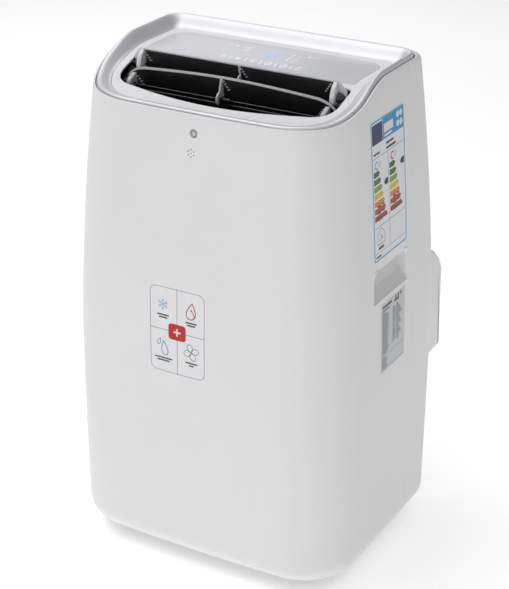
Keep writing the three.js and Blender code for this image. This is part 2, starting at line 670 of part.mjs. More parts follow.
function makeCompressor() {
  const { x, y, radius, low, high } = COMPRESSOR;
  const can = turned('z', x, y, [
    [0, low], [radius - 14, low], [radius - 2, low + 8], [radius, low + 18],
    [radius, high - 22], [radius - 5, high - 8], [radius - 24, high], [0, high + 3],
  ], 18);
  const feet = [0, 1, 2].map((i) => {
    const angle = rad(60 + 120 * i);
    return bar('z', x + 62 * Math.cos(angle), y + 62 * Math.sin(angle), low - 3, low, 13, 8);
  });
  return join(can, bar('z', x, y, low - 3, low + 1, 62, 12), ...feet, bar('z', x, y, high, high + 14, 12));
}
add('compressor', makeCompressor(), 'painted');

for (const i of [0, 1, 2]) {
  const angle = rad(60 + 120 * i);
  const [x, y] = [COMPRESSOR.x + 62 * Math.cos(angle), COMPRESSOR.y + 62 * Math.sin(angle)];
  const low = FOOT_Z + 4.3;
  const high = COMPRESSOR.low - 3.3;
  const profile = [
    [0, low], [11, low], [11, low + 14], [8, low + 18],
    [8, high - 20], [11, high - 12], [11, high], [0, high],
  ];
  add(`compressor_mount_${i + 1}`, turned('z', x, y, profile, 8), 'rubber');
}

const ACCUMULATOR = { x: -196, y: -34, radius: 21 };
const accumulatorCan = turned('z', ACCUMULATOR.x, ACCUMULATOR.y, [
  [0, 118], [10, 118], [21, 132], [21, 252], [10, 270], [0, 270],
], 12);
add('accumulator', accumulatorCan, 'painted');

// Finned block with end plates and return bends.
function makeCoil(half, y0, y1, low, high) {
  const block = box(-half, half, y0, y1, low, high);
  const ends = [-half, half];
  const plates = ends.map((x) => box(x - 1, x + 1, y0 - 3, y1 + 3, low - 3, high + 3));
  const bends = [];
  const count = 3;
  const pitch = (high - low - 40) / (count - 1);
  for (const side of [-1, 1]) {
    for (let i = 0; i < count; i += 1) {
      const z = low + 10 + i * pitch;
      const [root, bend, out] = [side * (half - 2), side * (half + 6), side * (half + 13)];
      const y = (y0 + y1) / 2;
      const path = [[root, y, z], [bend, y, z], [out, y, z + 10], [bend, y, z + 20], [root, y, z + 20]];
      bends.push(pipe(path, 4, 6, 2));
    }
  }
  return join(block, ...plates, ...bends);
}
add('evaporator', makeCoil(180, 84, 120, 482, 690), 'fins');
add('condenser', makeCoil(180, 100, 140, 78, 226), 'fins');

const CX = COMPRESSOR.x;
add('discharge_pipe', pipe([
  [CX, 0, 314.6], [CX, 0, 336], [CX + 12, 14, 350],
  [CX + 20, 60, 340], [CX + 20, 120, 300], [CX + 20, 120, 229.8],
], 4, 14), 'copper');
add('suction_pipe', pipe([
  [ACCUMULATOR.x, ACCUMULATOR.y, 270.5], [ACCUMULATOR.x, ACCUMULATOR.y, 330], [-200, 40, 390],
  [-204, 78, 430], [-204, 78, 490], [-206, 110, 560], [-200, 130, 620],
], 5, 18), 'copper');
add('capillary', pipe([
  [199.6, 120, 200], [212, 112, 240], [215, 104, 340], [212, 97, 430], [212, 97, 480], [202, 96, 500],
], 2.2, 14, 2), 'copper');

// Tray between the cold and the hot chamber, with its drain towards the back.
function makePartition() {
  const outside = prismZ(planShape(PARTITION_Z, 9), PARTITION_Z - 4, PARTITION_Z + 16);
  const inside = prismZ(planShape(PARTITION_Z, 12), PARTITION_Z - 1, PARTITION_Z + 30);
  const drop = bar('z', -100, 145, 404, PARTITION_Z - 3, 10, 12);
  const spout = join(drop, bar('y', -100, 400, 136, 160, 10, 12));
  const tray = join(outside.subtract(inside), spout);
  const pipeWays = [bar('z', -204, 78, 430, 480, 10), bar('z', 212, 97, 430, 480, 6)];
  const gripRoom = [[-240, -194], [194, 240]].map(([x0, x1]) => box(x0, x1, -66, 60, 430, 500));
  const bore = join(bar('z', -100, 145, 400, PARTITION_Z + 20, 7, 12), bar('y', -100, 400, 130, 170, 7, 12));
  return cut(tray, ...pipeWays, ...gripRoom, bore);
}
add('condensate_tray', makePartition(), 'foam');

// ---------------------------------------------------------------- blowers

// Outline of a scroll housing about (x, z): a spiral that opens into a straight throat going up.
function scrollOutline(x, z, radius, grow, wall, top, cutoffX) {
  const points = [];
  const steps = 15;
  for (let i = 0; i <= steps; i += 1) {
    const turn = 62 + (298 * i) / steps;
    const r = radius + (grow * i) / steps - wall;
    points.push([x + r * Math.cos(rad(turn)), z + r * Math.sin(rad(turn))]);
  }
  points.push([x + radius + grow - wall, top]);
  points.push([x + cutoffX + wall, top]);
  return points;
}

function makeScroll({ x, z, radius, grow, top, cutoffX, y0, y1, inlet }) {
  const wall = 2.4;
  const outside = prismY(scrollOutline(x, z, radius, grow, 0, top, cutoffX), y0, y1);
  const inside = prismY(scrollOutline(x, z, radius, grow, wall, top + 20, cutoffX), y0 - 5, y1 - wall);
  return cut(outside, inside, bar('y', x, z, y1 - 20, y1 + 20, inlet, 16));
}

function makeScrollCover({ x, z, radius, grow, top, cutoffX, y0 }) {
  const plate = prismY(scrollOutline(x, z, radius, grow, 0, top, cutoffX), y0 - 3 - GAP, y0 - GAP);
  return plate.subtract(bar('y', x, z, y0 - 20, y0 + 20, 12, 10));
}

const SHAFT = { radius: 4, bore: 4.4, seat: 30 };

// Drum of blades between a back plate with a hub and a front ring.
function makeBlowerWheel({ x, z, wheel, y0, y1 }) {
  const count = 16;
  const plate = bar('y', x, z, y0 + 10, y0 + 12.5, wheel, 16);
  const hub = bar('y', x, z, y0 + 6, y0 + 34, 11);
  const [inner, outer] = [wheel - 9, wheel + 1];
  const ringSection = [[inner, y1 - 12], [outer, y1 - 12], [outer, y1 - 9], [inner, y1 - 9]];
  const ring = turned('y', x, z, ringSection, 16);
  const blades = [];
  for (let i = 0; i < count; i += 1) {
    const flat = box(-4.5, 3.5, y0 + 11, y1 - 10, -0.7, 0.7);
    const blade = flat.rotate([0, 32, 0]).translate([wheel - 4, 0, 0]);
    blades.push(blade.rotate([0, (360 * i) / count, 0]).translate([x, 0, z]));
  }
  return cut(join(plate, hub, ring, ...blades), bar('y', x, z, y0 - 5, y0 + 40, SHAFT.radius + 0.3));
}

function makeBlowerMotor({ x, z, y0, motorFront }) {
  return turned('y', x, z, [
    [0, motorFront], [30, motorFront], [40, motorFront + 6], [40, y0 - 10], [28, y0 - 3.8],
    [9, y0 - 3.8], [9, y0 + 3], [SHAFT.bore, y0 + 3], [SHAFT.bore, y0 - SHAFT.seat], [0, y0 - SHAFT.seat],
  ], 12);
}

const BLOWERS = {
  upper: {
    x: -20, z: 560, radius: 70, grow: 28, top: 648.6, cutoffX: 40,
    wheel: 62, inlet: 54, y0: -104, y1: 24, motorFront: -160,
  },
  lower: {
    x: 96, z: 172, radius: 84, grow: 24, top: 262, cutoffX: 34,
    wheel: 74, inlet: 66, y0: -6, y1: 88, motorFront: -66,
  },
};
for (const [name, blower] of Object.entries(BLOWERS)) {
  add(`${name}_scroll`, makeScroll(blower), 'foam');
  add(`${name}_scroll_cover`, makeScrollCover(blower), 'foam');
  add(`${name}_blower_wheel`, makeBlowerWheel(blower), 'darkGrey');
  add(`${name}_blower_motor`, makeBlowerMotor(blower), 'steel');
  const shaft = bar('y', blower.x, blower.z, blower.y0 - SHAFT.seat + GAP, blower.y0 + 32, SHAFT.radius);
  add(`${name}_blower_shaft`, shaft, 'steel');
}

// Box that carries the hot air from the lower scroll to the hole in the rear cover.
function makeExhaustDuct() {
  const outside = box(62, 204, -8, 152, 264, 410);
  const inside = box(65, 201, -5, 149, 240, 407);
  const outlet = box(HOOD.axisX - 58, HOOD.axisX + 58, 140, 160, HOOD.axisZ - 56, HOOD.axisZ + 56);
  const floor = box(63, 203, 92, 151, 264, 267);
  return cut(outside, inside).add(floor).subtract(outlet);
}
add('exhaust_duct', makeExhaustDuct(), 'foam');

// ---------------------------------------------------------------- back of the machine

// A grille plate that fills one window of the rear cover, with rows of slots.
function makeGrille({ half, low, high }, rows, columns) {
  const plate = prismY(roundedRect(-half, half, low, high, 8), 90, 220).intersect(skinBand(0, 9));
  let grille = plate;
  const pitch = (high - low - 24) / rows;
  const run = (2 * half - 24) / columns;
  for (let row = 0; row < rows; row += 1) {
    for (let column = 0; column < columns; column += 1) {
      const x0 = -half + 12 + column * run + 4;
      const z0 = low + 12 + row * pitch + pitch * 0.28;
      grille = grille.subtract(box(x0, x0 + run - 8, 80, 240, z0, z0 + pitch * 0.6));
    }
  }
  return grille;
}

function makeFilterMesh({ half, low, high }) {
  return box(-half + 6, half - 6, 90, 220, low + 6, high - 6).intersect(skinBand(9.4, 2.6));
}

add('upper_filter_grille', makeGrille(UPPER_WINDOW, 9, 2), 'white');
add('upper_filter_mesh', makeFilterMesh(UPPER_WINDOW), 'darkGrey');
add('lower_filter_grille', makeGrille(LOWER_WINDOW, 6, 2), 'white');
add('lower_filter_mesh', makeFilterMesh(LOWER_WINDOW), 'darkGrey');

// Outline of the exhaust hood in Y and Z, with its walls moved in by an inset.
function hoodOutline(inset) {
  return [
    [120, HOOD.low - 4 + inset], [213.4 - inset, HOOD.low + 4 + inset],
    [209 - inset, 402 - inset], [204 - inset, 409 - inset], [197 - inset, 422 - inset],
    [180 - inset, 437 - inset], [157, 449 - inset], [120, 452 - inset],
  ];
}

function makeHood() {
  const { x0, x1, axisX, axisZ, bore } = HOOD;
  const outside = prismX(hoodOutline(0), x0, x1);
  const inside = prismX(hoodOutline(3), x0 + 3, x1 - 3);
  const boss = bar('y', axisX, axisZ, 196, 213.6, bore + 6, 24);
  const hood = join(outside.subtract(inside), boss).subtract(bar('y', axisX, axisZ, 150, 230, bore, 24));
  return hood.subtract(skinBand(-GAP, 70));
}
add('exhaust_hood', makeHood(), 'white');

const COLLAR = {
  outer: HOOD.bore - 0.6, inner: HOOD.bore - 3, flange: HOOD.bore + 5.5, back: 216.5, front: 194,
};
const collarProfile = [
  [COLLAR.inner, COLLAR.front], [COLLAR.outer, COLLAR.front], [COLLAR.outer, 214], [COLLAR.flange, 214],
  [COLLAR.flange, COLLAR.back], [COLLAR.inner, COLLAR.back],
];
add('hose_collar', turned('y', HOOD.axisX, HOOD.axisZ, collarProfile, 24), 'lightGrey');

// A turned plug that sits in a round hole of the rear cover.
function makePlug(x, z, head, spigot) {
  const face = reach(REAR, z) + 0.5;
  const profile = [
    [0, face - 9], [spigot, face - 9], [spigot, face], [head, face],
    [head, face + 3], [head - 2, face + 6], [0, face + 6],
  ];
  return turned('y', x, z, profile, 12);
}
add('upper_drain_cap', makePlug(-100, 400, 13, 6.6), 'lightGrey');
add('lower_drain_plug', makePlug(-60, 58, 13, 7.8), 'lightGrey');

function makeGland() {
  const face = reach(REAR, 300) + 0.5;
  const profile = [
    [3.6, face - 12], [8.5, face - 12], [8.5, face], [13, face],
    [13, face + 3], [8, face + 9], [3.6, face + 9],
  ];
  return turned('y', -150, 300, profile, 14);
}
add('cord_gland', makeGland(), 'black');

const electricalBox = box(128, 200, -86, 66, 482, 640).subtract(box(130.5, 240, -83.5, 63.5, 484.5, 637.5));
add('electrical_box', electricalBox, 'steel');

const bounds = new THREE.Box3().setFromObject(group);
group.position.set(0, -(bounds.min.y + bounds.max.y) / 2, -bounds.min.z);
group.updateMatrixWorld(true);

export default group;
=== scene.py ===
import math

import bmesh
import bpy
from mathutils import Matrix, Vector


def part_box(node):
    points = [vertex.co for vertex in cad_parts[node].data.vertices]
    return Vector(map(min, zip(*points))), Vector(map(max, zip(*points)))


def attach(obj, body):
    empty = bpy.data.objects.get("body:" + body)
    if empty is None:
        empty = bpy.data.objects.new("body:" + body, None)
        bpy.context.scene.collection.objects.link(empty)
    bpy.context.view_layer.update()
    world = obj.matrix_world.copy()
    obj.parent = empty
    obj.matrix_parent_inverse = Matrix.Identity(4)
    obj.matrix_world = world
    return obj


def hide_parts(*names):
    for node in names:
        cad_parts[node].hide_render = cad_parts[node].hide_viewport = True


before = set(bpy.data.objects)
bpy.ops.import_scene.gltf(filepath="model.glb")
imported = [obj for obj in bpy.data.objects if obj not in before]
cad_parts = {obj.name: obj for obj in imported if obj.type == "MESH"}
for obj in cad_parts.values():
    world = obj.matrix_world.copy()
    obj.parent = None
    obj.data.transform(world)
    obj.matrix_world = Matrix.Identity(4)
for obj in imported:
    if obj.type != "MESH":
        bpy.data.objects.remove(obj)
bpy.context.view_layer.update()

# Portable air conditioner, the visual model. Lengths here are millimetres in the casing's own
# axes (+Z up, front -Y, +X the side with the energy label); put() turns them into the frame's metres.

# ---------------- driving dimensions

HEIGHT = 765
BELLY_Z = 300
TAPER_POWER = 1.75
HALF_WIDTH = {"belly": 233.5, "top": 208.5, "foot": 230}
FRONT = {"belly": 180.5, "top": 157.6, "foot": 181}
REAR = {"belly": 169, "top": 138, "foot": 175}
FRONT_CORNER = {"foot": 86, "top": 102}
REAR_CORNER = {"foot": 46, "top": 33}
FRONT_BOW = 7.5
WALL = 2.8
SEAM_Y = 72
SEAM_GAP = 0.4
FOOT_Z = 20
FOOT_RADIUS = 34
FOOT_ANGLE = 75

RIM_FRONT_Z = 720.5
RIM_RISE = 45
SLOPE_START_Y = -132
SLOPE_LENGTH = 140
FRAME_INSET = 4.3
FRAME_REAR_INSET = 19
BAND = 20.5
REAR_BAND = 26
PANEL_FRONT_Z = 717.5
PANEL_RISE = 33
PANEL_WALL = 3

OPENING = {"half": 173, "rear": -27, "side": -62, "front": -117}
OVERLAY = {"half": 170, "front": -16, "rear": 82, "front_corner": 4, "rear_corner": 30}
OPEN_ANGLE = 100
FRONT_PIVOT = (-73.6, 715.5)
REAR_PIVOT = (-42.3, 735.2)
LOUVER_GAP = 2.6
FRONT_LOUVER = {"y0": -104, "y1": -70, "arm": (-10.4, -7.6)}
REAR_LOUVER = {"y0": -65, "y1": -29.6, "arm": (4.6, 7.4), "half": 170.4, "liner_half": 150.8,
               "corner_cut": 10.4}
END_ARM = (151.5, 158.5)            # reach in X of the discs at a louver's ends
CRANK = {"radius": 9, "angle": 350}  # the link's pin, from a louver's pivot, when shut

GRIP = {"front": -56, "rear": 50, "low": 447, "high": 494, "depth": 24}
HOOD = {"x0": 39, "x1": 219, "low": 262, "high": 449, "back": 213.4, "axis_x": 129, "axis_z": 337, "bore": 61,
        "hole_half": 66, "hole_up": 60}
DRAINS = {"upper_drain_cap": (-100, 400, 6.6), "lower_drain_plug": (-60, 58, 7.8)}  # x, z, spigot radius
DRAIN_BORE = 8.2
GLAND = {"x": -150, "z": 300, "bore": 9}
RECEIVER = {"x": 3.5, "z": 694, "bore": 6}
SOUNDER = {"z": 666, "ring": 5.2, "hole": 1.15}
UPPER_WINDOW = {"half": 170, "low": 480, "high": 690}
LOWER_WINDOW = {"half": 170, "low": 74, "high": 226}

# The casing's axes are the frame's, apart from a shift in Y, which the rear cover's seam shows.
SHIFT_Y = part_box("rear_cover")[0].y * 1000 - SEAM_Y - SEAM_GAP / 2


def put(point):
    """A point in millimetres in the casing's axes, as a vector in metres in the frame."""
    x, y, z = point
    return Vector((x, y + SHIFT_Y, z)) / 1000


# ---------------- camera

CAMERA = {"azimuth": 29.72, "elevation": 25.27, "place": (1101.5, -1921.9, 1433.1), "focal_px": 1629.2}
IMAGE_LONG_SIDE = 589
SENSOR = 36


def make_camera():
    data = bpy.data.cameras.new("camera")
    camera = bpy.data.objects.new("camera", data)
    bpy.context.scene.collection.objects.link(camera)
    azimuth, elevation = math.radians(CAMERA["azimuth"]), math.radians(CAMERA["elevation"])
    forward = Vector((
        -math.sin(azimuth) * math.cos(elevation),
        math.cos(azimuth) * math.cos(elevation),
        -math.sin(elevation),
    ))
    camera.location = put(CAMERA["place"])
    camera.rotation_euler = forward.to_track_quat("-Z", "Y").to_euler()
    data.sensor_width = SENSOR
    data.lens = CAMERA["focal_px"] / IMAGE_LONG_SIDE * SENSOR
    bpy.context.scene.camera = camera


make_camera()


# ---------------- materials

def add_node(nodes, kind, inputs=None, **settings):
    node = nodes.new(kind)
    for key, value in settings.items():
        setattr(node, key, value)
    for key, value in (inputs or {}).items():
        node.inputs[key].default_value = value
    return node


def two_tone(nodes, links, source, low, high, start=0.3, end=0.7):
    """A ramp between two close colours, driven by a noise value."""
    ramp = add_node(nodes, "ShaderNodeValToRGB")
    ramp.color_ramp.elements[0].position = start
    ramp.color_ramp.elements[1].position = end
    ramp.color_ramp.elements[0].color = (*low, 1)
    ramp.color_ramp.elements[1].color = (*high, 1)
    links.new(source, ramp.inputs["Fac"])
    return ramp.outputs["Color"]


def start_material(name):
    """A new material: itself, its nodes and links, its shader, and the object's own coordinates."""
    material = bpy.data.materials.new(name)
    material.use_nodes = True
    nodes, links = material.node_tree.nodes, material.node_tree.links
    place = add_node(nodes, "ShaderNodeTexCoord")
    return material, nodes, links, nodes["Principled BSDF"], place.outputs["Object"]


def add_relief(nodes, links, shader, height, strength, distance):
    relief = add_node(nodes, "ShaderNodeBump", {"Strength": strength, "Distance": distance})
    links.new(height, relief.inputs["Height"])
    links.new(relief.outputs["Normal"], shader.inputs["Normal"])


def surface(name, low, high, rough, metallic=0.0, grain=900, bump=0.02, cloud=14, stretch=(1, 1, 1),
            coat=0.0, specular=0.5):
    """Moulded or painted surface: a cloudy tone, a fine grain in the relief and uneven gloss."""
    material, nodes, links, shader, place = start_material(name)
    mapping = add_node(nodes, "ShaderNodeMapping", {"Scale": stretch})
    links.new(place, mapping.inputs["Vector"])
    clouds = add_node(nodes, "ShaderNodeTexNoise", {"Scale": cloud, "Detail": 3})
    fine = add_node(nodes, "ShaderNodeTexNoise", {"Scale": grain, "Detail": 2})
    for noise in (clouds, fine):
        links.new(mapping.outputs["Vector"], noise.inputs["Vector"])
    links.new(two_tone(nodes, links, clouds.outputs["Fac"], low, high), shader.inputs["Base Color"])
    gloss = add_node(nodes, "ShaderNodeMapRange", {"To Min": rough[0], "To Max": rough[1]})
    links.new(fine.outputs["Fac"], gloss.inputs["Value"])
    links.new(gloss.outputs["Result"], shader.inputs["Roughness"])
    add_relief(nodes, links, shader, fine.outputs["Fac"], bump, 0.0004)
    shader.inputs["Metallic"].default_value = metallic
    shader.inputs["Coat Weight"].default_value = coat
    shader.inputs["Specular IOR Level"].default_value = specular
    return material


def glowing(name, low, high, strength):
    """Lit display segments: a tone that is uneven between the diodes."""
    material, nodes, links, shader, place = start_material(name)
    dots = add_node(nodes, "ShaderNodeTexVoronoi", {"Scale": 400})
    links.new(place, dots.inputs["Vector"])
    colour = two_tone(nodes, links, dots.outputs["Distance"], high, low, 0.0, 0.8)
    links.new(colour, shader.inputs["Base Color"])
    links.new(colour, shader.inputs["Emission Color"])
    shader.inputs["Emission Strength"].default_value = strength
    shader.inputs["Roughness"].default_value = 0.3
    return material


def filter_net():
    """Woven net seen through the grilles: two crossing sets of threads in the relief and tone."""
    material, nodes, links, shader, place = start_material("filter_net")
    weave = add_node(nodes, "ShaderNodeMath", operation="MAXIMUM")
    for direction, socket in zip(("X", "Z"), weave.inputs):
        numbers = {"Scale": 260, "Distortion": 0.4}
        wave = add_node(nodes, "ShaderNodeTexWave", numbers, bands_direction=direction)
        links.new(place, wave.inputs["Vector"])
        links.new(wave.outputs["Fac"], socket)
    tone = two_tone(nodes, links, weave.outputs["Value"], (0.008, 0.008, 0.01), (0.09, 0.09, 0.1), 0.4, 0.9)
    links.new(tone, shader.inputs["Base Color"])
    add_relief(nodes, links, shader, weave.outputs["Value"], 0.6, 0.0005)
    shader.inputs["Roughness"].default_value = 0.8
    return material


def finned():
    """Stack of thin fins: fine upright lines in the relief, and in the tone bright fin lines with painted
    shade between them.
    """
    material, nodes, links, shader, place = start_material("fins")
    wave = add_node(nodes, "ShaderNodeTexWave", {"Scale": 160, "Distortion": 0.6}, bands_direction="X")
    links.new(place, wave.inputs["Vector"])
    # the dark end of the ramp is painted shade in the gaps between the fins; the light end is the fins' own
    # bright metal
    tone = two_tone(nodes, links, wave.outputs["Fac"], (0.25, 0.26, 0.27), (0.8, 0.81, 0.82), 0.2, 0.6)
    links.new(tone, shader.inputs["Base Color"])
    add_relief(nodes, links, shader, wave.outputs["Fac"], 0.5, 0.0006)
    shader.inputs["Metallic"].default_value = 0.9
    shader.inputs["Roughness"].default_value = 0.4
    return material


M = {
    "white": surface("white_shell", (0.79, 0.79, 0.80), (0.81, 0.81, 0.82), (0.30, 0.40), bump=0.05, cloud=5),
    "panel_white": surface("panel_white", (0.82, 0.82, 0.85), (0.84, 0.84, 0.87), (0.32, 0.42), bump=0.05),
    "silver": surface("silver_paint", (0.72, 0.72, 0.75), (0.76, 0.76, 0.79), (0.48, 0.56), metallic=0.7,
                      grain=2600, bump=0.05),
    "louver_silver": surface("louver_silver", (0.78, 0.79, 0.81), (0.82, 0.83, 0.85), (0.32, 0.42),
                             metallic=0.25, grain=2200, bump=0.05),
    "overlay": surface("overlay_gloss", (0.64, 0.645, 0.68), (0.67, 0.675, 0.71), (0.26, 0.32), bump=0.01,
                       specular=0.25),
    "black": surface("black_plastic", (0.006, 0.006, 0.007), (0.011, 0.011, 0.012), (0.26, 0.42), bump=0.08),
    "gloss_black": surface("gloss_black", (0.012, 0.012, 0.013), (0.02, 0.02, 0.021), (0.12, 0.2), coat=0.6),
    "dark": surface("dark_plastic", (0.035, 0.036, 0.038), (0.05, 0.051, 0.053), (0.4, 0.55), bump=0.1),
    "bracket": surface("bracket_grey", (0.48, 0.49, 0.51), (0.55, 0.56, 0.58), (0.25, 0.4), bump=0.04),
    "cap_white": surface("cap_white", (0.74, 0.74, 0.76), (0.78, 0.78, 0.80), (0.3, 0.4), bump=0.04),
    "grey": surface("grey_plastic", (0.42, 0.43, 0.45), (0.47, 0.48, 0.5), (0.35, 0.5), bump=0.08),
    "lens": surface("smoked_lens", (0.50, 0.48, 0.49), (0.54, 0.52, 0.53), (0.05, 0.1), bump=0.0, coat=1.0),
    "lens_ring": surface("lens_ring", (0.36, 0.36, 0.38), (0.40, 0.40, 0.42), (0.25, 0.35), bump=0.02),
    "steel": surface("plated_steel", (0.42, 0.43, 0.44), (0.55, 0.56, 0.57), (0.25, 0.45), metallic=1.0,
                     grain=500, bump=0.05, stretch=(1, 1, 12)),
    "black_paint": surface("black_paint", (0.010, 0.010, 0.012), (0.02, 0.02, 0.022), (0.3, 0.5), bump=0.2,
                           grain=300),
    "copper": surface("copper_tube", (0.55, 0.22, 0.11), (0.70, 0.33, 0.18), (0.25, 0.5),
                      metallic=1.0, cloud=60),
    "foam": surface("dense_foam", (0.62, 0.62, 0.60), (0.72, 0.72, 0.70), (0.7, 0.9), bump=0.5, grain=420),
    "rubber": surface("rubber", (0.012, 0.012, 0.012), (0.022, 0.022, 0.022), (0.7, 0.9),
                      bump=0.2, grain=600),
    "board": surface("circuit_board", (0.015, 0.11, 0.05), (0.03, 0.17, 0.08), (0.3, 0.5),
                     bump=0.1, cloud=120),
    "net": filter_net(),
    "fins": finned(),
    "paper": surface("label_paper", (0.80, 0.80, 0.82), (0.82, 0.82, 0.84), (0.4, 0.5), bump=0.02, cloud=30),
    "plate_foil": surface("rating_foil", (0.56, 0.57, 0.59), (0.60, 0.61, 0.63), (0.35, 0.5),
                          bump=0.02, cloud=30),
    "digits": glowing("lit_digits", (0.10, 0.30, 1.0), (0.18, 0.42, 1.0), 0.7),
    "icons": glowing("icon_white", (0.86, 0.87, 0.9), (0.94, 0.95, 0.97), 0.3),
}


def ink(name, colour):
    """Printing ink: its colour is a little uneven, as ink on film is."""
    darker = tuple(0.9 * c for c in colour)
    return surface(name, darker, colour, (0.4, 0.5), bump=0.01, cloud=90)


INK_COLOURS = {
    "grey": (0.06, 0.06, 0.07), "line": (0.09, 0.09, 0.10), "text": (0.07, 0.07, 0.08),
    "red": (0.55, 0.010, 0.012), "flame": (0.36, 0.06, 0.04), "ice": (0.22, 0.50, 0.68),
    "water": (0.12, 0.25, 0.45), "leaf": (0.09, 0.17, 0.09), "paper": (0.82, 0.82, 0.84),
    "navy": (0.012, 0.022, 0.10), "cyan": (0.02, 0.30, 0.62), "sky": (0.06, 0.38, 0.62),
    "bar_a": (0.01, 0.12, 0.03), "bar_b": (0.03, 0.18, 0.03), "bar_c": (0.20, 0.36, 0.05),
    "bar_d": (0.72, 0.52, 0.02), "bar_e": (0.70, 0.26, 0.02), "bar_f": (0.50, 0.05, 0.02),
    "bar_g": (0.42, 0.015, 0.015), "black": (0.01, 0.01, 0.01),
}
INK = {name: ink(f"ink_{name}", colour) for name, colour in INK_COLOURS.items()}


# ---------------- the casing's form

def lerp(a, b, t):
    return a + (b - a) * t


def clamp(value, low, high):
    return max(low, min(high, value))


def smoothstep(value, low, high):
    t = clamp((value - low) / (high - low), 0, 1)
    return t * t * (3 - 2 * t)


def reach(side, z):
    """How far the casing reaches from its middle at height z, for its width, front or rear."""
    if z < BELLY_Z:
        return side["belly"] + (side["foot"] - side["belly"]) * ((BELLY_Z - z) / BELLY_Z) ** 2
    return side["belly"] - (side["belly"] - side["top"]) * ((z - BELLY_Z) / (HEIGHT - BELLY_Z)) ** TAPER_POWER


def rise(y):
    return smoothstep(y, SLOPE_START_Y, SLOPE_START_Y + SLOPE_LENGTH)


def rim_z(y):
    return RIM_FRONT_Z + RIM_RISE * rise(y)


def panel_z(y):
    return PANEL_FRONT_Z + PANEL_RISE * rise(y)


def rearness(y):
    return smoothstep(y, 70, 112)


def corner_radius(corner, z, inset, least):
    return max(lerp(corner["foot"], corner["top"], z / HEIGHT) - inset, least)


def outline_point(station, z, inset, rear_inset):
    """Point of the plan outline. A station is (kx, ky, nx, ny): kx and ky place the corner's centre
    between the four corner centres, and nx and ny point outwards."""
    kx, ky, nx, ny = station
    width = reach(HALF_WIDTH, z) - inset
    front = reach(FRONT, z) - inset
    back = reach(REAR, z) - rear_inset
    front_radius = corner_radius(FRONT_CORNER, z, inset, 4)
    rear_radius = corner_radius(REAR_CORNER, z, inset, 12)
    radius = rear_radius if ky > 0.5 else front_radius
    x = kx * (width - radius) + radius * nx
    flat = lerp(front_radius - front, back - rear_radius, ky) + radius * ny
    bow = FRONT_BOW * (x / width) ** 2 * clamp((back - flat) / (back + front), 0, 1)
    return x, flat + bow


def on_corner(kx, ky, angle):
    turn = math.radians(angle)
    station = (kx, ky, math.cos(turn), math.sin(turn))
    return lambda z, inset, rear: outline_point(station, z, inset, rear)


def on_line(kx, ky, nx, ny):
    return lambda z, inset, rear: outline_point((kx, ky, nx, ny), z, inset, rear)


def on_side(side, corner_end, t, seam, extra=0.0):
    """Point on a straight side, a share t of the way from a corner's end to the seam."""
    def at(z, inset, rear):
        y = corner_end(z, inset, rear)[1]
        return side * (reach(HALF_WIDTH, z) - inset - extra), lerp(y, seam, t)
    return at


FRONT_STEPS, CORNER_STEPS, SIDE_STEPS, REAR_STEPS = 22, 16, 16, 16
SEAM_EDGE = 0.5     # the covers' edges are broken by this much at the seam


def corner_stations(kx, ky, start):
    return [on_corner(kx, ky, start + 90 * i / CORNER_STEPS) for i in range(CORNER_STEPS + 1)]


def front_line():
    return [on_line(2 * i / FRONT_STEPS - 1, 0, 0, -1) for i in range(1, FRONT_STEPS)]


def rear_line():
    return [on_line(1 - 2 * i / REAR_STEPS, 1, 0, 1) for i in range(1, REAR_STEPS)]


def side_stations(side, corner_end, seam, inward, steps):
    """From a corner's end to the seam, with a broken edge there."""
    stations = [on_side(side, corner_end, i / steps, seam - inward * SEAM_EDGE) for i in range(1, steps + 1)]
    return stations + [on_side(side, corner_end, 1, seam, SEAM_EDGE)]


def front_stations():
    """Round the front cover, from its left seam by the front to its right seam."""
    seam = SEAM_Y - SEAM_GAP / 2
    left_corner = corner_stations(-1, 0, 180)
    right_corner = corner_stations(1, 0, -90)
    left = side_stations(-1, left_corner[0], seam, 1, SIDE_STEPS)[::-1]
    right = side_stations(1, right_corner[-1], seam, 1, SIDE_STEPS)
    return left + left_corner + front_line() + right_corner + right


def rear_stations():
    seam = SEAM_Y + SEAM_GAP / 2
    right_corner = corner_stations(1, 1, 0)
    left_corner = corner_stations(-1, 1, 90)
    right = side_stations(1, right_corner[0], seam, -1, 4)[::-1]
    left = side_stations(-1, left_corner[-1], seam, -1, 4)
    return right + right_corner + rear_line() + left_corner + left


def round_stations():
    """All the way round, for the ring pieces."""
    def side_line(kx, backwards):
        steps = [i / SIDE_STEPS for i in range(1, SIDE_STEPS)]
        return [on_line(kx, 1 - t if backwards else t, kx, 0) for t in steps]
    return (corner_stations(1, 0, -90) + side_line(1, False) + corner_stations(1, 1, 0) + rear_line()
            + corner_stations(-1, 1, 90) + side_line(-1, True) + corner_stations(-1, 0, 180) + front_line())


def skin_point(station, inset, rear, z):
    """Point of the skin at a station, where the height may be a function of y."""
    if not callable(z):
        x, y = station(z, inset, rear)
        return Vector((x, y, z))
    x, y = station(z(0), inset, rear)
    for _ in range(6):
        x, y = station(z(y), inset, rear)
    return Vector((x, y, z(y)))


def bridge(mesh, row, following):
    """Faces between two rings of equally many points."""
    for i in range(len(row)):
        j = (i + 1) % len(row)
        mesh.faces.new((row[i], row[j], following[j], following[i]))


def carry(section, stations, closed):
    """A closed section of (inset, rear inset, height) carried along the stations, as a mesh."""
    mesh = bmesh.new()
    rows = [[mesh.verts.new(put(skin_point(station, *point))) for point in section] for station in stations]
    for row, following in list(zip(rows, rows[1:])) + ([(rows[-1], rows[0])] if closed else []):
        bridge(mesh, row, following)
    if not closed:
        mesh.faces.new(rows[0][::-1])
        mesh.faces.new(rows[-1])
    return mesh


# ---------------- making pieces

SHARP = math.radians(34)


def shade(mesh):
    """Smooth faces, and sharp edges wherever two faces meet at more than a slight angle."""
    for face in mesh.faces:
        face.smooth = True
    for edge in mesh.edges:
        edge.smooth = len(edge.link_faces) == 2 and edge.calc_face_angle(0) < SHARP


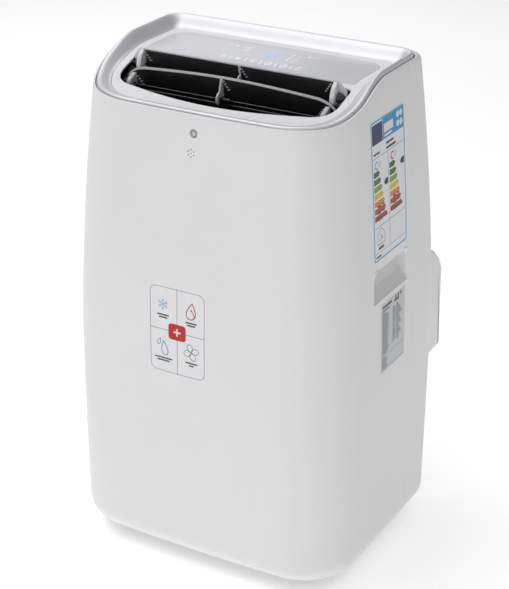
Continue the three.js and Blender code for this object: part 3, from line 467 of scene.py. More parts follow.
def to_object(mesh, name):
    """A finished mesh as an object with outward normals, smooth except across sharp edges."""
    bmesh.ops.recalc_face_normals(mesh, faces=mesh.faces)
    shade(mesh)
    data = bpy.data.meshes.new(name)
    mesh.to_mesh(data)
    mesh.free()
    piece = bpy.data.objects.new(name, data)
    bpy.context.scene.collection.objects.link(piece)
    return piece


def dress(piece, material, body, slot, *nodes):
    """Give a piece its material and its body, and hide the CAD nodes it stands for. The slot is not used."""
    piece.data.materials.clear()
    piece.data.materials.append(material)
    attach(piece, body)
    if nodes:
        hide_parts(*nodes)
    return piece


def carve(piece, cutter_mesh, operation="DIFFERENCE"):
    """Cut one mesh out of a piece for good, then set its smooth and sharp edges again."""
    cutter = to_object(cutter_mesh, "cutter")
    modifier = piece.modifiers.new("carve", "BOOLEAN")
    modifier.operation, modifier.object, modifier.solver = operation, cutter, "EXACT"
    carved = bpy.data.meshes.new_from_object(piece.evaluated_get(bpy.context.evaluated_depsgraph_get()))
    piece.modifiers.clear()
    old, piece.data = piece.data, carved
    bpy.data.meshes.remove(old)
    bpy.data.objects.remove(cutter)
    mesh = bmesh.new()
    mesh.from_mesh(piece.data)
    bmesh.ops.remove_doubles(mesh, verts=mesh.verts, dist=1e-6)
    bmesh.ops.dissolve_degenerate(mesh, edges=mesh.edges, dist=1e-6)
    shade(mesh)
    mesh.to_mesh(piece.data)
    mesh.free()


def stack(mesh, loops):
    """Join loops of equal length, given as lists of points, into a solid with flat ends."""
    rows = [[mesh.verts.new(put(point)) for point in loop] for loop in loops]
    for row, following in zip(rows, rows[1:]):
        bridge(mesh, row, following)
    mesh.faces.new(rows[0][::-1])
    mesh.faces.new(rows[-1])
    return mesh


AXES = {
    "x": lambda a, b, h: (h, a, b),
    "y": lambda a, b, h: (a, h, b),
}


def layers(mesh, axis, heights, *loops):
    """A solid from flat loops, one at each height along an axis. One loop alone serves them all."""
    loops = loops * len(heights) if len(loops) == 1 else loops
    return stack(mesh, [[AXES[axis](a, b, height) for a, b in loop] for height, loop in zip(heights, loops)])


def turn(mesh, axis, a, b, profile, segments=48):
    """Turn a profile of (radius, height) pairs about an axis through (a, b). It may end on the axis."""
    place = AXES[axis]
    rows = []
    for radius, height in profile:
        if radius < 1e-6:
            rows.append([mesh.verts.new(put(place(a, b, height)))])
            continue
        ring = []
        for i in range(segments):
            angle = 2 * math.pi * i / segments
            point = place(a + radius * math.cos(angle), b + radius * math.sin(angle), height)
            ring.append(mesh.verts.new(put(point)))
        rows.append(ring)
    open_profile = profile[0][0] < 1e-6
    pairs = list(zip(rows, rows[1:])) + ([] if open_profile else [(rows[-1], rows[0])])
    for row, following in pairs:
        for i in range(segments):
            j = (i + 1) % segments
            places = ((row, i), (row, j), (following, j), (following, i))
            corners = [ring[k % len(ring)] for ring, k in places]
            mesh.faces.new(list(dict.fromkeys(corners)))
    return mesh


def rod(mesh, axis, a, b, radius, low, high, segments):
    return turn(mesh, axis, a, b, [(0, low), (radius, low), (radius, high), (0, high)], segments)


def rounded(points, radii, steps=6):
    """A polygon with its corners rounded; radii is one number or one for each corner."""
    count = len(points)
    radii = [radii] * count if isinstance(radii, (int, float)) else radii
    result = []
    for i, point in enumerate(points):
        corner = Vector(point)
        before, after = Vector(points[i - 1]) - corner, Vector(points[(i + 1) % count]) - corner
        radius = min(radii[i], 0.49 * before.length, 0.49 * after.length)
        if radius < 1e-6:
            result.append(tuple(corner))
            continue
        angle = before.angle(after)
        cut = min(radius / math.tan(angle / 2), 0.49 * before.length, 0.49 * after.length)
        start, end = corner + before.normalized() * cut, corner + after.normalized() * cut
        for k in range(steps + 1):
            t = k / steps
            result.append(tuple(start.lerp(corner, t).lerp(corner.lerp(end, t), t)))
    return result


def rectangle(x0, x1, y0, y1, radius=0.0, steps=5):
    return rounded([(x0, y0), (x1, y0), (x1, y1), (x0, y1)], radius, steps)


def circle(x, y, radius, segments=24, start=0.0):
    angles = [start + 2 * math.pi * i / segments for i in range(segments)]
    return [(x + radius * math.cos(a), y + radius * math.sin(a)) for a in angles]


def stroke(points, width, closed=False):
    """The outline of a line of even width through the points; a closed line gives two loops."""
    count = len(points)
    left, right = [], []
    for i, point in enumerate(points):
        before = Vector(points[i - 1]) if closed or i > 0 else None
        after = Vector(points[(i + 1) % count]) if closed or i < count - 1 else None
        here = Vector(point)
        first = (here - before).normalized() if before is not None else (after - here).normalized()
        second = (after - here).normalized() if after is not None else first
        middle = first + second
        middle = middle.normalized() if middle.length > 1e-6 else first
        side = Vector((-middle.y, middle.x)) * (width / 2 / max(middle.dot(first), 0.4))
        left.append(tuple(here + side))
        right.append(tuple(here - side))
    if closed:
        return [left, right]
    return [right + left[::-1]]


def area(loop):
    return sum(a[0] * b[1] - b[0] * a[1] for a, b in zip(loop, loop[1:] + loop[:1])) / 2


def grown(loop, amount):
    """A loop moved outwards, to its right as it runs anticlockwise."""
    if abs(amount) < 1e-9:
        return loop
    sign = 1 if area(loop) > 0 else -1
    result = []
    for i, point in enumerate(loop):
        here = Vector(point)
        first = here - Vector(loop[i - 1])
        second = Vector(loop[(i + 1) % len(loop)]) - here
        if first.length < 1e-9 or second.length < 1e-9:
            first = second = first + second
        middle = (first.normalized() + second.normalized()).normalized()
        side = Vector((middle.y, -middle.x)) * sign
        reach_out = amount / max(middle.dot(first.normalized()), 0.5)
        result.append(tuple(here + side * reach_out))
    return result


EDGE_STEPS = 3      # steps round the rounded edge of a plate


def plate(mesh, outer, holes, low, high, drape, edge=0.0, pitch=(None, None)):
    """A plate between two depths over a curved surface. It is built flat, cut into strips as fine
    as the pitch, then laid over the surface by drape(u, v, depth), which returns a point in mm."""
    flat = bmesh.new()
    depths = [] if edge else [(0, high)]
    for k in range(EDGE_STEPS + 1 if edge else 0):
        angle = math.pi / 2 * k / EDGE_STEPS
        depths.append((-edge * (1 - math.sin(angle)), high - edge * (1 - math.cos(angle))))
    depths.append((0, low))
    tops, bottoms = [], []
    for loop, sign in [(outer, 1)] + [(hole, -1) for hole in holes]:
        rows = []
        for offset, depth in depths:
            moved = grown(loop, sign * offset)
            rows.append([flat.verts.new((x, y, depth)) for x, y in moved])
        for row, following in zip(rows, rows[1:]):
            bridge(flat, row, following)
        tops.append(rows[0])
        bottoms.append(rows[-1])
    for rows in (tops, bottoms):
        if len(rows) == 1:
            flat.faces.new(rows[0])
            continue
        flat.edges.ensure_lookup_table()
        edges = [flat.edges.get(pair) for row in rows for pair in zip(row, row[1:] + row[:1])]
        bmesh.ops.triangle_fill(flat, edges=edges, use_beauty=True)
    for axis, step in enumerate(pitch):
        if step is None:
            continue
        values = [p[axis] for p in outer]
        normal = (1, 0, 0) if axis == 0 else (0, 1, 0)
        first, last = math.floor(min(values) / step) + 1, math.ceil(max(values) / step)
        for i in range(first, last):
            cut_at = (i * step, 0, 0) if axis == 0 else (0, i * step, 0)
            geometry = flat.verts[:] + flat.edges[:] + flat.faces[:]
            bmesh.ops.bisect_plane(flat, geom=geometry, plane_co=cut_at, plane_no=normal, dist=1e-5)
    made = {v: mesh.verts.new(put(drape(*v.co))) for v in flat.verts}
    for face in flat.faces:
        mesh.faces.new([made[v] for v in face.verts])
    flat.free()
    return mesh


def on_top(x, y, depth):
    return x, y, panel_z(y) + depth


def on_front(x, z, depth):
    width = reach(HALF_WIDTH, z)
    return x, -reach(FRONT, z) + FRONT_BOW * (x / width) ** 2 - depth, z


def on_right(y, z, depth):
    return reach(HALF_WIDTH, z) + depth, y, z


def on_rear(x, z, depth):
    return x, reach(REAR, z) + depth, z


# ---------------- the two covers

def wall_points(inset, bottom_steps=8, level_steps=40):
    """(inset, rear inset, height) from the foot to just under the rim."""
    centre = FOOT_Z + FOOT_RADIUS * math.sin(math.radians(FOOT_ANGLE))
    radius = FOOT_RADIUS - inset
    points = []
    for i in range(bottom_steps + 1):
        angle = math.radians(FOOT_ANGLE * (1 - i / bottom_steps))
        tucked = inset + radius * (1 - math.cos(angle))
        points.append((tucked, tucked, centre - radius * math.sin(angle)))
    for i in range(1, level_steps + 1):
        z = lerp(centre, 700, i / level_steps)
        points.append((inset, inset, z))
    return points


def top_rim(y):
    return rim_z(y) - 1 - 3 * rise(y)


def casing_section():
    """Outer wall, rolled top edge, short return and inner wall."""
    rim_steps = 6
    lip = FRAME_REAR_INSET - 3
    section = wall_points(0)
    for i in range(rim_steps + 1):
        angle = math.pi / 2 * i / rim_steps
        drop = 1 - math.sin(angle)
        tuck = 1 - math.cos(angle)
        section.append((1.6 * tuck, 10 * tuck, lambda y, d=drop: top_rim(y) - d * lerp(1.4, 9, rearness(y))))
    section.append((WALL, lip, top_rim))
    section.append((WALL, lip, lambda y: top_rim(y) - 2.6))
    section.append((WALL, lerp(WALL, lip, 0.3), lambda y: top_rim(y) - lerp(4, 6.5, rearness(y))))
    section.append((WALL, WALL, lambda y: top_rim(y) - lerp(6, 14, rearness(y))))
    return section + wall_points(WALL, 8, 10)[::-1]


def grip_cutter(side):
    """The hollow for one hand: it runs out flush at its lower edge and has a soft rim."""
    front, rear, low, high = (GRIP[key] for key in ("front", "rear", "low", "high"))
    skin, back = reach(HALF_WIDTH, low), reach(HALF_WIDTH, low) - GRIP["depth"]
    outline = rounded([(front, low - 30), (rear, low - 30), (rear, high), (front, high)], [6, 6, 15, 17], 9)
    rim = 3
    flares = [(rim, -12), (rim, 0)]
    for k in range(1, 7):
        angle = math.pi / 12 * k
        flares.append((rim * (1 - math.sin(angle)), rim * (1 - math.cos(angle))))
    flares.append((0, 45))
    loops = []
    for flare, depth in flares:
        loops.append([(side * (reach(HALF_WIDTH, z) - depth), y, z) for y, z in grown(outline, flare)])
    block = to_object(stack(bmesh.new(), loops), "grip_block")
    wedge = rounded([
        (skin + 14, low - 4.5), (skin + 14, high + 8), (back, high + 8),
        (back, high - 8), (skin - 13, low + 16), (skin - 0.2, low - 1),
    ], [0, 0, 0, 9, 30, 12], 8)
    keep = layers(bmesh.new(), "y", (front - 20, rear + 20), [(side * x, z) for x, z in wedge])
    carve(block, keep, "INTERSECT")
    mesh = bmesh.new()
    mesh.from_mesh(block.data)
    bpy.data.objects.remove(block)
    return mesh


def grip_lining(side):
    """The pocket's own wall behind the cover, a block that grip_cutter() then hollows."""
    front, rear, low, high = (GRIP[key] for key in ("front", "rear", "low", "high"))
    skin, wall = reach(HALF_WIDTH, low), 2.4
    back = skin - GRIP["depth"] - wall
    wedge = rounded([
        (skin - 1.2, low - wall), (skin - 1.4, high + wall), (back, high + wall),
        (back, high - 8), (skin - 13 - wall, low + 14),
    ], [0, 0, 0, 9, 20], 8)
    return layers(bmesh.new(), "y", (front - wall, rear + wall), [(side * x, z) for x, z in wedge])


def make_front_cover():
    cover = to_object(carry(casing_section(), front_stations(), False), "front_cover_shell")
    for side in (-1, 1):
        carve(cover, grip_lining(side), "UNION")
        carve(cover, grip_cutter(side))
    drill = bmesh.new()
    rod(drill, "y", RECEIVER["x"], RECEIVER["z"], RECEIVER["bore"], -190, -140, 40)
    for i in range(7):
        angle = math.radians(60 * i)
        radius = 0 if i == 6 else SOUNDER["ring"]
        x, z = radius * math.sin(angle), SOUNDER["z"] + radius * math.cos(angle)
        rod(drill, "y", x, z, SOUNDER["hole"], -190, -140, 16)
    carve(cover, drill)
    dress(cover, M["white"], "casing", "white_shell", "front_cover")


def make_rear_cover():
    cover = to_object(carry(casing_section(), rear_stations(), False), "rear_cover_shell")
    drill = bmesh.new()
    for window in (UPPER_WINDOW, LOWER_WINDOW):
        loop = rectangle(-window["half"] - 1, window["half"] + 1, window["low"] - 1, window["high"] + 1, 9)
        layers(drill, "y", (110, 200), loop)
    x, z, half, up = HOOD["axis_x"], HOOD["axis_z"], HOOD["hole_half"], HOOD["hole_up"]
    layers(drill, "y", (130, 200), rectangle(x - half, x + half, z - up, z + up, 6))
    rod(drill, "y", GLAND["x"], GLAND["z"], GLAND["bore"], 130, 200, 32)
    for x, z, _ in DRAINS.values():
        rod(drill, "y", x, z, DRAIN_BORE, 130, 200, 32)
    carve(cover, drill)
    dress(cover, M["white"], "casing", "white_shell", "rear_cover")


make_front_cover()
make_rear_cover()


# ---------------- ring, panel and overlay

def make_top_ring():
    """Dished silver ring: skirt, rounded crest, band sloping in, ledge under the panel."""
    outer, rear = FRAME_INSET, FRAME_REAR_INSET
    inner, inner_rear = outer + BAND, rear + REAR_BAND
    crest = 3.2
    section = [(outer, rear, lambda y: rim_z(y) - 9), (outer, rear, lambda y: rim_z(y) - 1)]
    steps = 7
    for i in range(1, steps + 1):
        angle = math.pi / 2 * i / steps
        tuck = crest * (1 - math.cos(angle))
        section.append((outer + tuck, rear + tuck, lambda y, s=math.sin(angle): rim_z(y) - 1 + crest * s))
    band_steps = 10
    for i in range(1, band_steps + 1):
        t = i / band_steps
        share = lerp(t, t * t * (3 - 2 * t), 0.75)
        section.append((
            lerp(outer + crest, inner, t), lerp(rear + crest, inner_rear, t),
            lambda y, s=share: lerp(rim_z(y) - 1 + crest, panel_z(y), s),
        ))
    under = PANEL_WALL + 0.4
    section += [
        (inner + 0.4, inner_rear + 0.4, lambda y: panel_z(y) - 0.5),
        (inner + 0.4, inner_rear + 0.4, lambda y: panel_z(y) - under),
        (inner + 3, inner_rear + 3, lambda y: panel_z(y) - under),
        (inner + 3, inner_rear + 3, lambda y: panel_z(y) - under - 2),
        (inner - 2, inner_rear - 2, lambda y: panel_z(y) - under - 2),
        (outer + 2.6, rear + 2.6, lambda y: rim_z(y) - 3.4),
        (outer + 2.2, rear + 2.2, lambda y: rim_z(y) - 9),
    ]
    ring = to_object(carry(section, round_stations(), True), "top_ring")
    dress(ring, M["silver"], "casing", "silver_ring", "top_frame")


def quadratic(start, control, end, steps):
    """Points of a curve from start up to, but without, end."""
    points = []
    for i in range(steps):
        t = i / steps
        near, middle, far = (1 - t) ** 2, 2 * t * (1 - t), t * t
        points.append(tuple(near * s + middle * c + far * e for s, c, e in zip(start, control, end)))
    return points


def opening_loop(offset):
    """The air outlet's D-shaped outline seen from above, anticlockwise, grown by an offset."""
    half = OPENING["half"] + offset
    rear = OPENING["rear"] + offset
    front = OPENING["front"] - offset
    side = OPENING["side"]
    bend = side - 38 - offset
    points = quadratic((-half, side), (-half, side - 34), (-half + 38, bend), 12)
    points += quadratic((-half + 38, bend), (-half / 3, front), (0, front), 16)
    points += quadratic((0, front), (half / 3, front), (half - 38, bend), 16)
    points += quadratic((half - 38, bend), (half, side - 34), (half, side), 12)
    points += quadratic((half, rear - 10), (half, rear), (half - 10, rear), 6)
    points += quadratic((-half + 10, rear), (-half, rear), (-half, rear - 10), 6)
    return points


def overlay_loop(inset):
    half, front, rear = OVERLAY["half"] - inset, OVERLAY["front"] + inset, OVERLAY["rear"] - inset
    low, high = OVERLAY["front_corner"] - inset, OVERLAY["rear_corner"] - inset
    return rounded([(-half, front), (half, front), (half, rear), (-half, rear)], [low, low, high, high], 10)


def make_top_panel():
    inset = FRAME_INSET + BAND + 0.8
    rear = FRAME_REAR_INSET + REAR_BAND + 0.8
    outer = [tuple(skin_point(station, inset, rear, panel_z)[:2]) for station in round_stations()]
    holes = [opening_loop(0), overlay_loop(0)]
    mesh = plate(bmesh.new(), outer, holes, -1.6, 0, on_top, edge=0.7, pitch=(None, 4))
    plate(mesh, grown(outer, -0.3), [opening_loop(0.2)], -PANEL_WALL, -1.7, on_top, pitch=(None, 4))
    dress(to_object(mesh, "top_panel_plate"), M["panel_white"], "casing", "white_shell", "top_panel")


def make_overlay():
    mesh = plate(bmesh.new(), overlay_loop(0.45), [], -1.1, 0.1, on_top, edge=0.25, pitch=(None, 4))
    dress(to_object(mesh, "control_film"), M["overlay"], "casing", "overlay", "control_overlay")


make_top_ring()
make_top_panel()
make_overlay()


def printed(name, material, shapes, drape, low, high, slot, pitch):
    """One piece holding all shapes of one colour: each shape is a list of loops, outer first."""
    mesh = bmesh.new()
    for shape in shapes:
        plate(mesh, shape[0], shape[1:], low, high, drape, pitch=pitch)
    dress(to_object(mesh, name), material, "casing", slot)


SEGMENTS = {
    "top": ((0.12, 1.0), (0.48, 1.0)),
    "middle": ((0.12, 0.5), (0.48, 0.5)),
    "bottom": ((0.12, 0.0), (0.48, 0.0)),
    "upper_left": ((0.03, 0.92), (0.03, 0.58)), "lower_left": ((0.03, 0.42), (0.03, 0.08)),
    "upper_right": ((0.57, 0.92), (0.57, 0.58)), "lower_right": ((0.57, 0.42), (0.57, 0.08)),
}
DIGITS = {1: ("upper_right", "lower_right"), 8: tuple(SEGMENTS)}


def digit(value, x, y, height):
    """A seven-segment digit, leaning a little to the left as seen from straight above."""
    shapes = []
    for name in DIGITS[value]:
        ends = [(x + height * (a - 0.12 * b), y + height * b) for a, b in SEGMENTS[name]]
        shapes.append(stroke(ends, height * 0.07))
    return shapes


KEY_LINE = 0.95      # width of the lines of the key symbols


def stretched(points, x, y, across, along):
    """Points of a symbol one unit in size, placed and scaled differently across and along the panel."""
    return [(x + across * a, y + along * b) for a, b in points]


def ring_points(radius, start=0, end=360, steps=20):
    """Points round a ring, or round a part of it, about the origin."""
    angles = [math.radians(lerp(start, end, i / steps)) for i in range(steps + (end - start < 360))]
    return [(radius * math.cos(a), radius * math.sin(a)) for a in angles]


# The symbols of the six touch keys, one unit high: each is a list of (points, closed) lines.
SYMBOLS = [
    [([(-0.9, dy), (0.9, dy)], False) for dy in (-0.7, 0, 0.7)],
    [([(-math.cos(a), -math.sin(a)), (math.cos(a), math.sin(a))], False) for a in (0.5, 1.55, 2.6)],
    [([(-0.9, 0.5), (0, -0.6), (0.9, 0.5)], False), ([(-0.5, 0.9), (0.5, 0.9)], False)],
    [(ring_points(1), True), ([(0, 0.6), (0, 0), (0.45, 0)], False)],
    [(ring_points(1), True), ([(-0.5, 0), (0.5, 0)], False)],
    [(ring_points(0.9, 60, 330), False), ([(0, 0.3), (0, 1.1)], False)],
]


def key_icons():
    """Symbols of the touch keys along the front of the overlay, with slanting bars between them."""
    shapes = []
    first, pitch, row_y = -48.5, 24.4, 3
    across, along = 4.4, 6.2
    for i, symbol in enumerate(SYMBOLS):
        x = first + i * pitch
        for points, closed in symbol:
            shapes.append(stroke(stretched(points, x, row_y, across, along), KEY_LINE, closed))
        if i < len(SYMBOLS) - 1:
            middle = x + pitch / 2
            shapes.append(stroke([(middle + 0.9, row_y - 7), (middle - 0.9, row_y + 7)], KEY_LINE))
    return shapes


def small_marks():
    """Short bars, chevrons and small rings beside the digits, where the real one has words."""
    shapes = []
    for k in range(4):
        x, y = -46 + 1.3 * k, 58 - 6 * k
        shapes.append(stroke([(x, y), (x + 3.5, y)], KEY_LINE))
        shapes.append(stroke([(x + 6, y), (x + 14.5, y)], KEY_LINE))
    for k in range(4):
        x, y = 40.5 - 0.5 * k, 28 + 8.4 * k
        shapes.append(stroke([(x - 1.6, y + 2.4), (x + 1.6, y), (x - 1.6, y - 2.4)], KEY_LINE))
        shapes.append(stroke([(x + 8, y - 2.5), (x + 14, y - 2.5)], KEY_LINE))
    for x, length in ((-71, 10), (67, 11)):
        shapes.append(stroke([(x, 57), (x + length, 57)], KEY_LINE))
    for x in (-56, 62):
        shapes.append(stroke(stretched(ring_points(1.8, steps=16), x, 57, 1, 1.3), KEY_LINE, True))
    return shapes


def make_display():
    shapes = digit(1, -9, 29, 22) + digit(8, 7, 29, 22)
    printed("display_digits", M["digits"], shapes, on_top, 0.12, 0.22, "overlay", (None, 4))
    printed("panel_icons", M["icons"], key_icons() + small_marks(), on_top, 0.12, 0.18, "overlay", (None, 4))


make_display()


# ---------------- louvers

def opened(point, pivot):
    """Turn a point of a shut louver (x, y, z) into its open place."""
    x, y, z = point
    dy, dz = y - pivot[0], z - pivot[1]
    c, s = math.cos(math.radians(-OPEN_ANGLE)), math.sin(math.radians(-OPEN_ANGLE))
    return x, pivot[0] + dy * c - dz * s, pivot[1] + dy * s + dz * c


def front_louver_plan(inset):
    """Plan of the front louver when shut: a shallow curve in front, straight behind."""
    half = OPENING["half"] - LOUVER_GAP - inset
    front, corner = FRONT_LOUVER["y0"] + inset, -98 + inset
    points = quadratic((-half, -72), (-half, -91), (-half + 30, corner), 12)
    points += quadratic((-half + 30, corner), (-half / 3, front), (0, front), 16)
    points += quadratic((0, front), (half / 3, front), (half - 30, corner), 16)
    points += quadratic((half - 30, corner), (half, -91), (half, -72), 12)
    return points + [(half, -72), (half, FRONT_LOUVER["y1"] - inset), (-half, FRONT_LOUVER["y1"] - inset)]


def rear_louver_plan(inset, half):
    """Plan of the rear louver when shut: the blade's front corners are cut off, the liner's are not."""
    front, back = REAR_LOUVER["y0"] + inset, REAR_LOUVER["y1"] - inset
    cut = REAR_LOUVER["corner_cut"] if half == REAR_LOUVER["half"] else 0
    return rounded([(-half + cut, front), (half - cut, front), (half, front + 1.2 * cut + 0.1), (half, back),
                    (-half, back), (-half, front + 1.2 * cut + 0.1)], [3, 3, 3, 7, 7, 3], 4)


def sheet_between(name, loop, low, high, pivot, material, body, slot, edge, *nodes):
    """A curved plate of a louver, between two depths under the panel's surface, standing open."""
    def drape(x, y, depth):
        return opened(on_top(x, y, depth), pivot)
    mesh = plate(bmesh.new(), loop, [], low, high, drape, edge=edge, pitch=(None, 3))
    return dress(to_object(mesh, name), material, body, slot, *nodes)


def arm(mesh, x0, x1, outline, pivot, edge=0.5):
    """A flat rib across the louver, from its side view when shut, with broken edges."""
    inner = grown(outline, -edge)
    loops = [(x0, inner), (x0 + edge, outline), (x1 - edge, outline), (x1, inner)]
    stack(mesh, [[opened((x, y, z), pivot) for y, z in loop] for x, loop in loops])


def under(y):
    """Height of a shut louver's under side."""
    return panel_z(y) - 3.3


TOOTH = {"count": 4, "gap": 1.3, "pitch": 2.6, "step": 3.5, "width": 1.4, "length": 2.2}


def teeth(mesh, x_start, side, y_start, pivot):
    """Gusset ribs beside an arm, stepping away from it and down the louver."""
    for k in range(TOOTH["count"]):
        x = x_start + side * (TOOTH["gap"] + TOOTH["pitch"] * k)
        y = y_start + TOOTH["step"] * k
        end = y + TOOTH["length"]
        outline = rounded([(y, under(y) - 5.5), (end, under(y) - 4), (end, under(end)), (y, under(y))], 0.4, 3)
        arm(mesh, *sorted((x, x + side * TOOTH["width"])), outline, pivot, 0.3)


def make_louver(name, shape, pivot, arm_span, web, end_web, cap):
    """A louver: shape holds the plans of its blade and liner, and web and end_web are side views."""
    blade_plan, liner_plan = shape
    body = f"{name}_louver"
    sheet_between(f"{name}_louver_blade", blade_plan, -2.3, 0, pivot, M["louver_silver"], body,
                  "silver_ring", 0.5, f"{name}_louver_skin")
    sheet_between(f"{name}_louver_liner", liner_plan, -3.4, -2.4, pivot, M["black"], body,
                  "black_plastic", 0.4, f"{name}_louver_frame")
    bracket = bmesh.new()
    arm(bracket, *arm_span, web, pivot)
    teeth(bracket, arm_span[1], 1, web[0][0] + 3, pivot)
    for side in (-1, 1):
        teeth(bracket, side * (END_ARM[0] - 0.9), -side, end_web[0][0] + 4, pivot)
    dress(to_object(bracket, f"{name}_louver_bracket"), M["bracket"], body, "black_plastic")
    ends = bmesh.new()
    for side in (-1, 1):
        arm(ends, *sorted(side * x for x in END_ARM), end_web, pivot, 1.2)
    dress(to_object(ends, f"{name}_louver_ends"), M[cap], body, "black_plastic")
    shafts = bmesh.new()
    y, z = pivot
    for side in (-1, 1):
        turn(shafts, "x", y, z, [(0, side * 149), (2, side * 149), (2, side * 158.7), (7.5, side * 158.7),
                                 (6.8, side * 163), (3.2, side * 168.5), (2, side * 168.5), (2, side * 178.6),
                                 (1.5, side * 179.2), (0, side * 179.2)], 32)
    rod(shafts, "x", y, z, 2, -10.6, 7.6, 24)
    angle = math.radians(CRANK["angle"] - OPEN_ANGLE)
    pin_y, pin_z = y + CRANK["radius"] * math.cos(angle), z + CRANK["radius"] * math.sin(angle)
    pin = [(0, -173.9), (2, -173.9), (2, -160.4), (3, -160.4), (3, -END_ARM[0]), (0, -END_ARM[0])]
    turn(shafts, "x", pin_y, pin_z, pin, 24)
    dress(to_object(shafts, f"{name}_louver_shafts"), M["dark"], body, "black_plastic")


def arc_points(centre, radius, start, end, steps):
    angles = [math.radians(lerp(start, end, i / steps)) for i in range(steps + 1)]
    return [(centre[0] + radius * math.cos(a), centre[1] + radius * math.sin(a)) for a in angles]


def under_edge(front, rear):
    """Points along the under side of a louver, from its rear towards its front."""
    return [(lerp(rear, front, i / 8), under(lerp(rear, front, i / 8))) for i in range(9)]


def web_with_hub(front, rear, pivot, hub, foot_front):
    """Side view of a rib when shut: flush under the liner, drawn down to a round hub."""
    low = arc_points(pivot, hub, 200, 335, 12)
    return [(front, under(front) - foot_front)] + low + under_edge(front, rear)


FRONT_MIDDLE = web_with_hub(-101.5, -71.5, FRONT_PIVOT, 9.8, 4)
FRONT_END = web_with_hub(-88, -71.5, FRONT_PIVOT, 9.8, 3)
REAR_MIDDLE = web_with_hub(-63.5, -34, REAR_PIVOT, 8.6, 4)
CAP_FRONT, CAP_REAR = -64.6, -30.5      # reach in Y of the white discs at the rear louver's ends
REAR_CAP = rounded([
    (CAP_FRONT, under(CAP_FRONT)), (-63.5, 729.5), (-57, 724.4), (-50, 722), (-42, 721.2), (-34, 722.6),
    (CAP_REAR, under(CAP_REAR)),
], [0, 6, 9, 9, 9, 8, 0], 5)[:-1] + under_edge(CAP_FRONT, CAP_REAR)[:-1]
make_louver("front", (front_louver_plan(0), front_louver_plan(3.4)), FRONT_PIVOT, FRONT_LOUVER["arm"],
            FRONT_MIDDLE, FRONT_END, "bracket")
rear_plans = (rear_louver_plan(0, REAR_LOUVER["half"]), rear_louver_plan(2.2, REAR_LOUVER["liner_half"]))
make_louver("rear", rear_plans, REAR_PIVOT, REAR_LOUVER["arm"], REAR_MIDDLE, REAR_CAP, "cap_white")


# ---------------- air throat

VANE_X = (-144, -108, -72, -36, 36, 72, 108, 144)


def make_throat():
    """What shows in the throat under the louvers: upright vanes, two thin rods across and a round stud."""
    vanes = bmesh.new()
    for x in VANE_X:
        drawn_in = abs(x) * 0.06    # the outer vanes are shorter, as the outlet's front is curved
        corners = [(-104 + drawn_in, 668), (-62, 668), (-60, 690), (-72, 699), (-98 + drawn_in, 696)]
        outline = rounded(corners, 3, 4)
        inner = grown(outline, -0.5)
        layers(vanes, "x", (x - 0.9, x - 0.4, x + 0.4, x + 0.9), inner, outline, outline, inner)
    dress(to_object(vanes, "throat_vanes"), M["black"], "casing", "black_plastic")
    bars = bmesh.new()
    rod_z, rod_half = 704, 146
    for y in (-99, -63):
        profile = [(0, -rod_half), (1.5, -rod_half + 0.6), (1.5, rod_half - 0.6), (0, rod_half)]
        turn(bars, "x", y, rod_z, profile, 20)
    turn(bars, "y", -50, rod_z, [(0, -104), (4.6, -104), (5.4, -103.2), (5.4, -96), (0, -96)], 32)
    dress(to_object(bars, "throat_bars"), M["gloss_black"], "casing", "black_plastic")


make_throat()


# ---------------- receiver and front label

def make_receiver():
    x, z = RECEIVER["x"], RECEIVER["z"]
    y = on_front(x, z, 0)[1]
    bezel = [(5.4, y + 4), (5.4, y + 0.6), (5.2, y - 0.1), (4.6, y - 0.35), (4.1, y - 0.1), (3.9, y + 0.5),
             (3.9, y + 4)]
    ring = turn(bmesh.new(), "y", x, z, bezel)
    dress(to_object(ring, "receiver_ring"), M["lens_ring"], "casing", "smoked_lens")
    dome = [(0, y + 4), (3.7, y + 4)]
    for k in range(8):
        angle = math.pi / 16 * k
        dome.append((3.7 * math.cos(angle), y + 0.6 - math.sin(angle)))
    lens = turn(bmesh.new(), "y", x, z, dome + [(0, y - 0.4)])
    dress(to_object(lens, "receiver_dome"), M["lens"], "casing", "smoked_lens", "receiver_lens")


make_receiver()

STICKER = {"left": -69, "right": 29, "low": 324, "high": 468}


def text_bars(x, y, widths, height=2.3, pitch=4.0):
    """Short bars in place of lines of words, centred on x, from y down."""
    shapes = []
    for row, width in enumerate(widths):
        top = y - row * pitch
        shapes.append([rectangle(x - width / 2, x + width / 2, top - height, top, 0.6, 3)])
    return shapes


def snowflake(x, y, size):
    shapes = []
    for k in range(6):
        a = math.radians(60 * k + 30)
        along = Vector((math.cos(a), math.sin(a)))
        across = Vector((-along.y, along.x))
        centre = Vector((x, y))
        shapes.append(stroke([tuple(centre), tuple(centre + along * size)], 1.0))
        for share in (0.5, 0.78):
            root = centre + along * size * share
            for side in (-1, 1):
                tip = root + (along * 0.8 + across * side) * size * 0.24
                shapes.append(stroke([tuple(root), tuple(tip)], 0.8))
    return shapes


def drop_loop(x, y, width, height, lean=0.0, steps=28):
    """A drop with its point up, about a centre."""
    points = []
    for i in range(steps):
        a = 2 * math.pi * i / steps
        up = math.cos(a)
        pinch = ((1 - up) / 2) ** 0.55
        points.append((x + width / 2 * math.sin(a) * pinch + lean * up, y + height / 2 * up))
    return points[::-1]


def fan_leaves(x, y, size):
    """A ring of four rounded blades."""
    shapes = []
    for k in range(4):
        a = math.radians(90 * k + 20)
        leaf = []
        for i in range(20):
            t = 2 * math.pi * i / 20
            out, across = size * (0.52 + 0.46 * math.cos(t)), size * 0.36 * math.sin(t)
            leaf.append((x + out * math.cos(a) - across * math.sin(a),
                         y + out * math.sin(a) + across * math.cos(a)))
        shapes.append(stroke(leaf, 0.8, True))
    return shapes


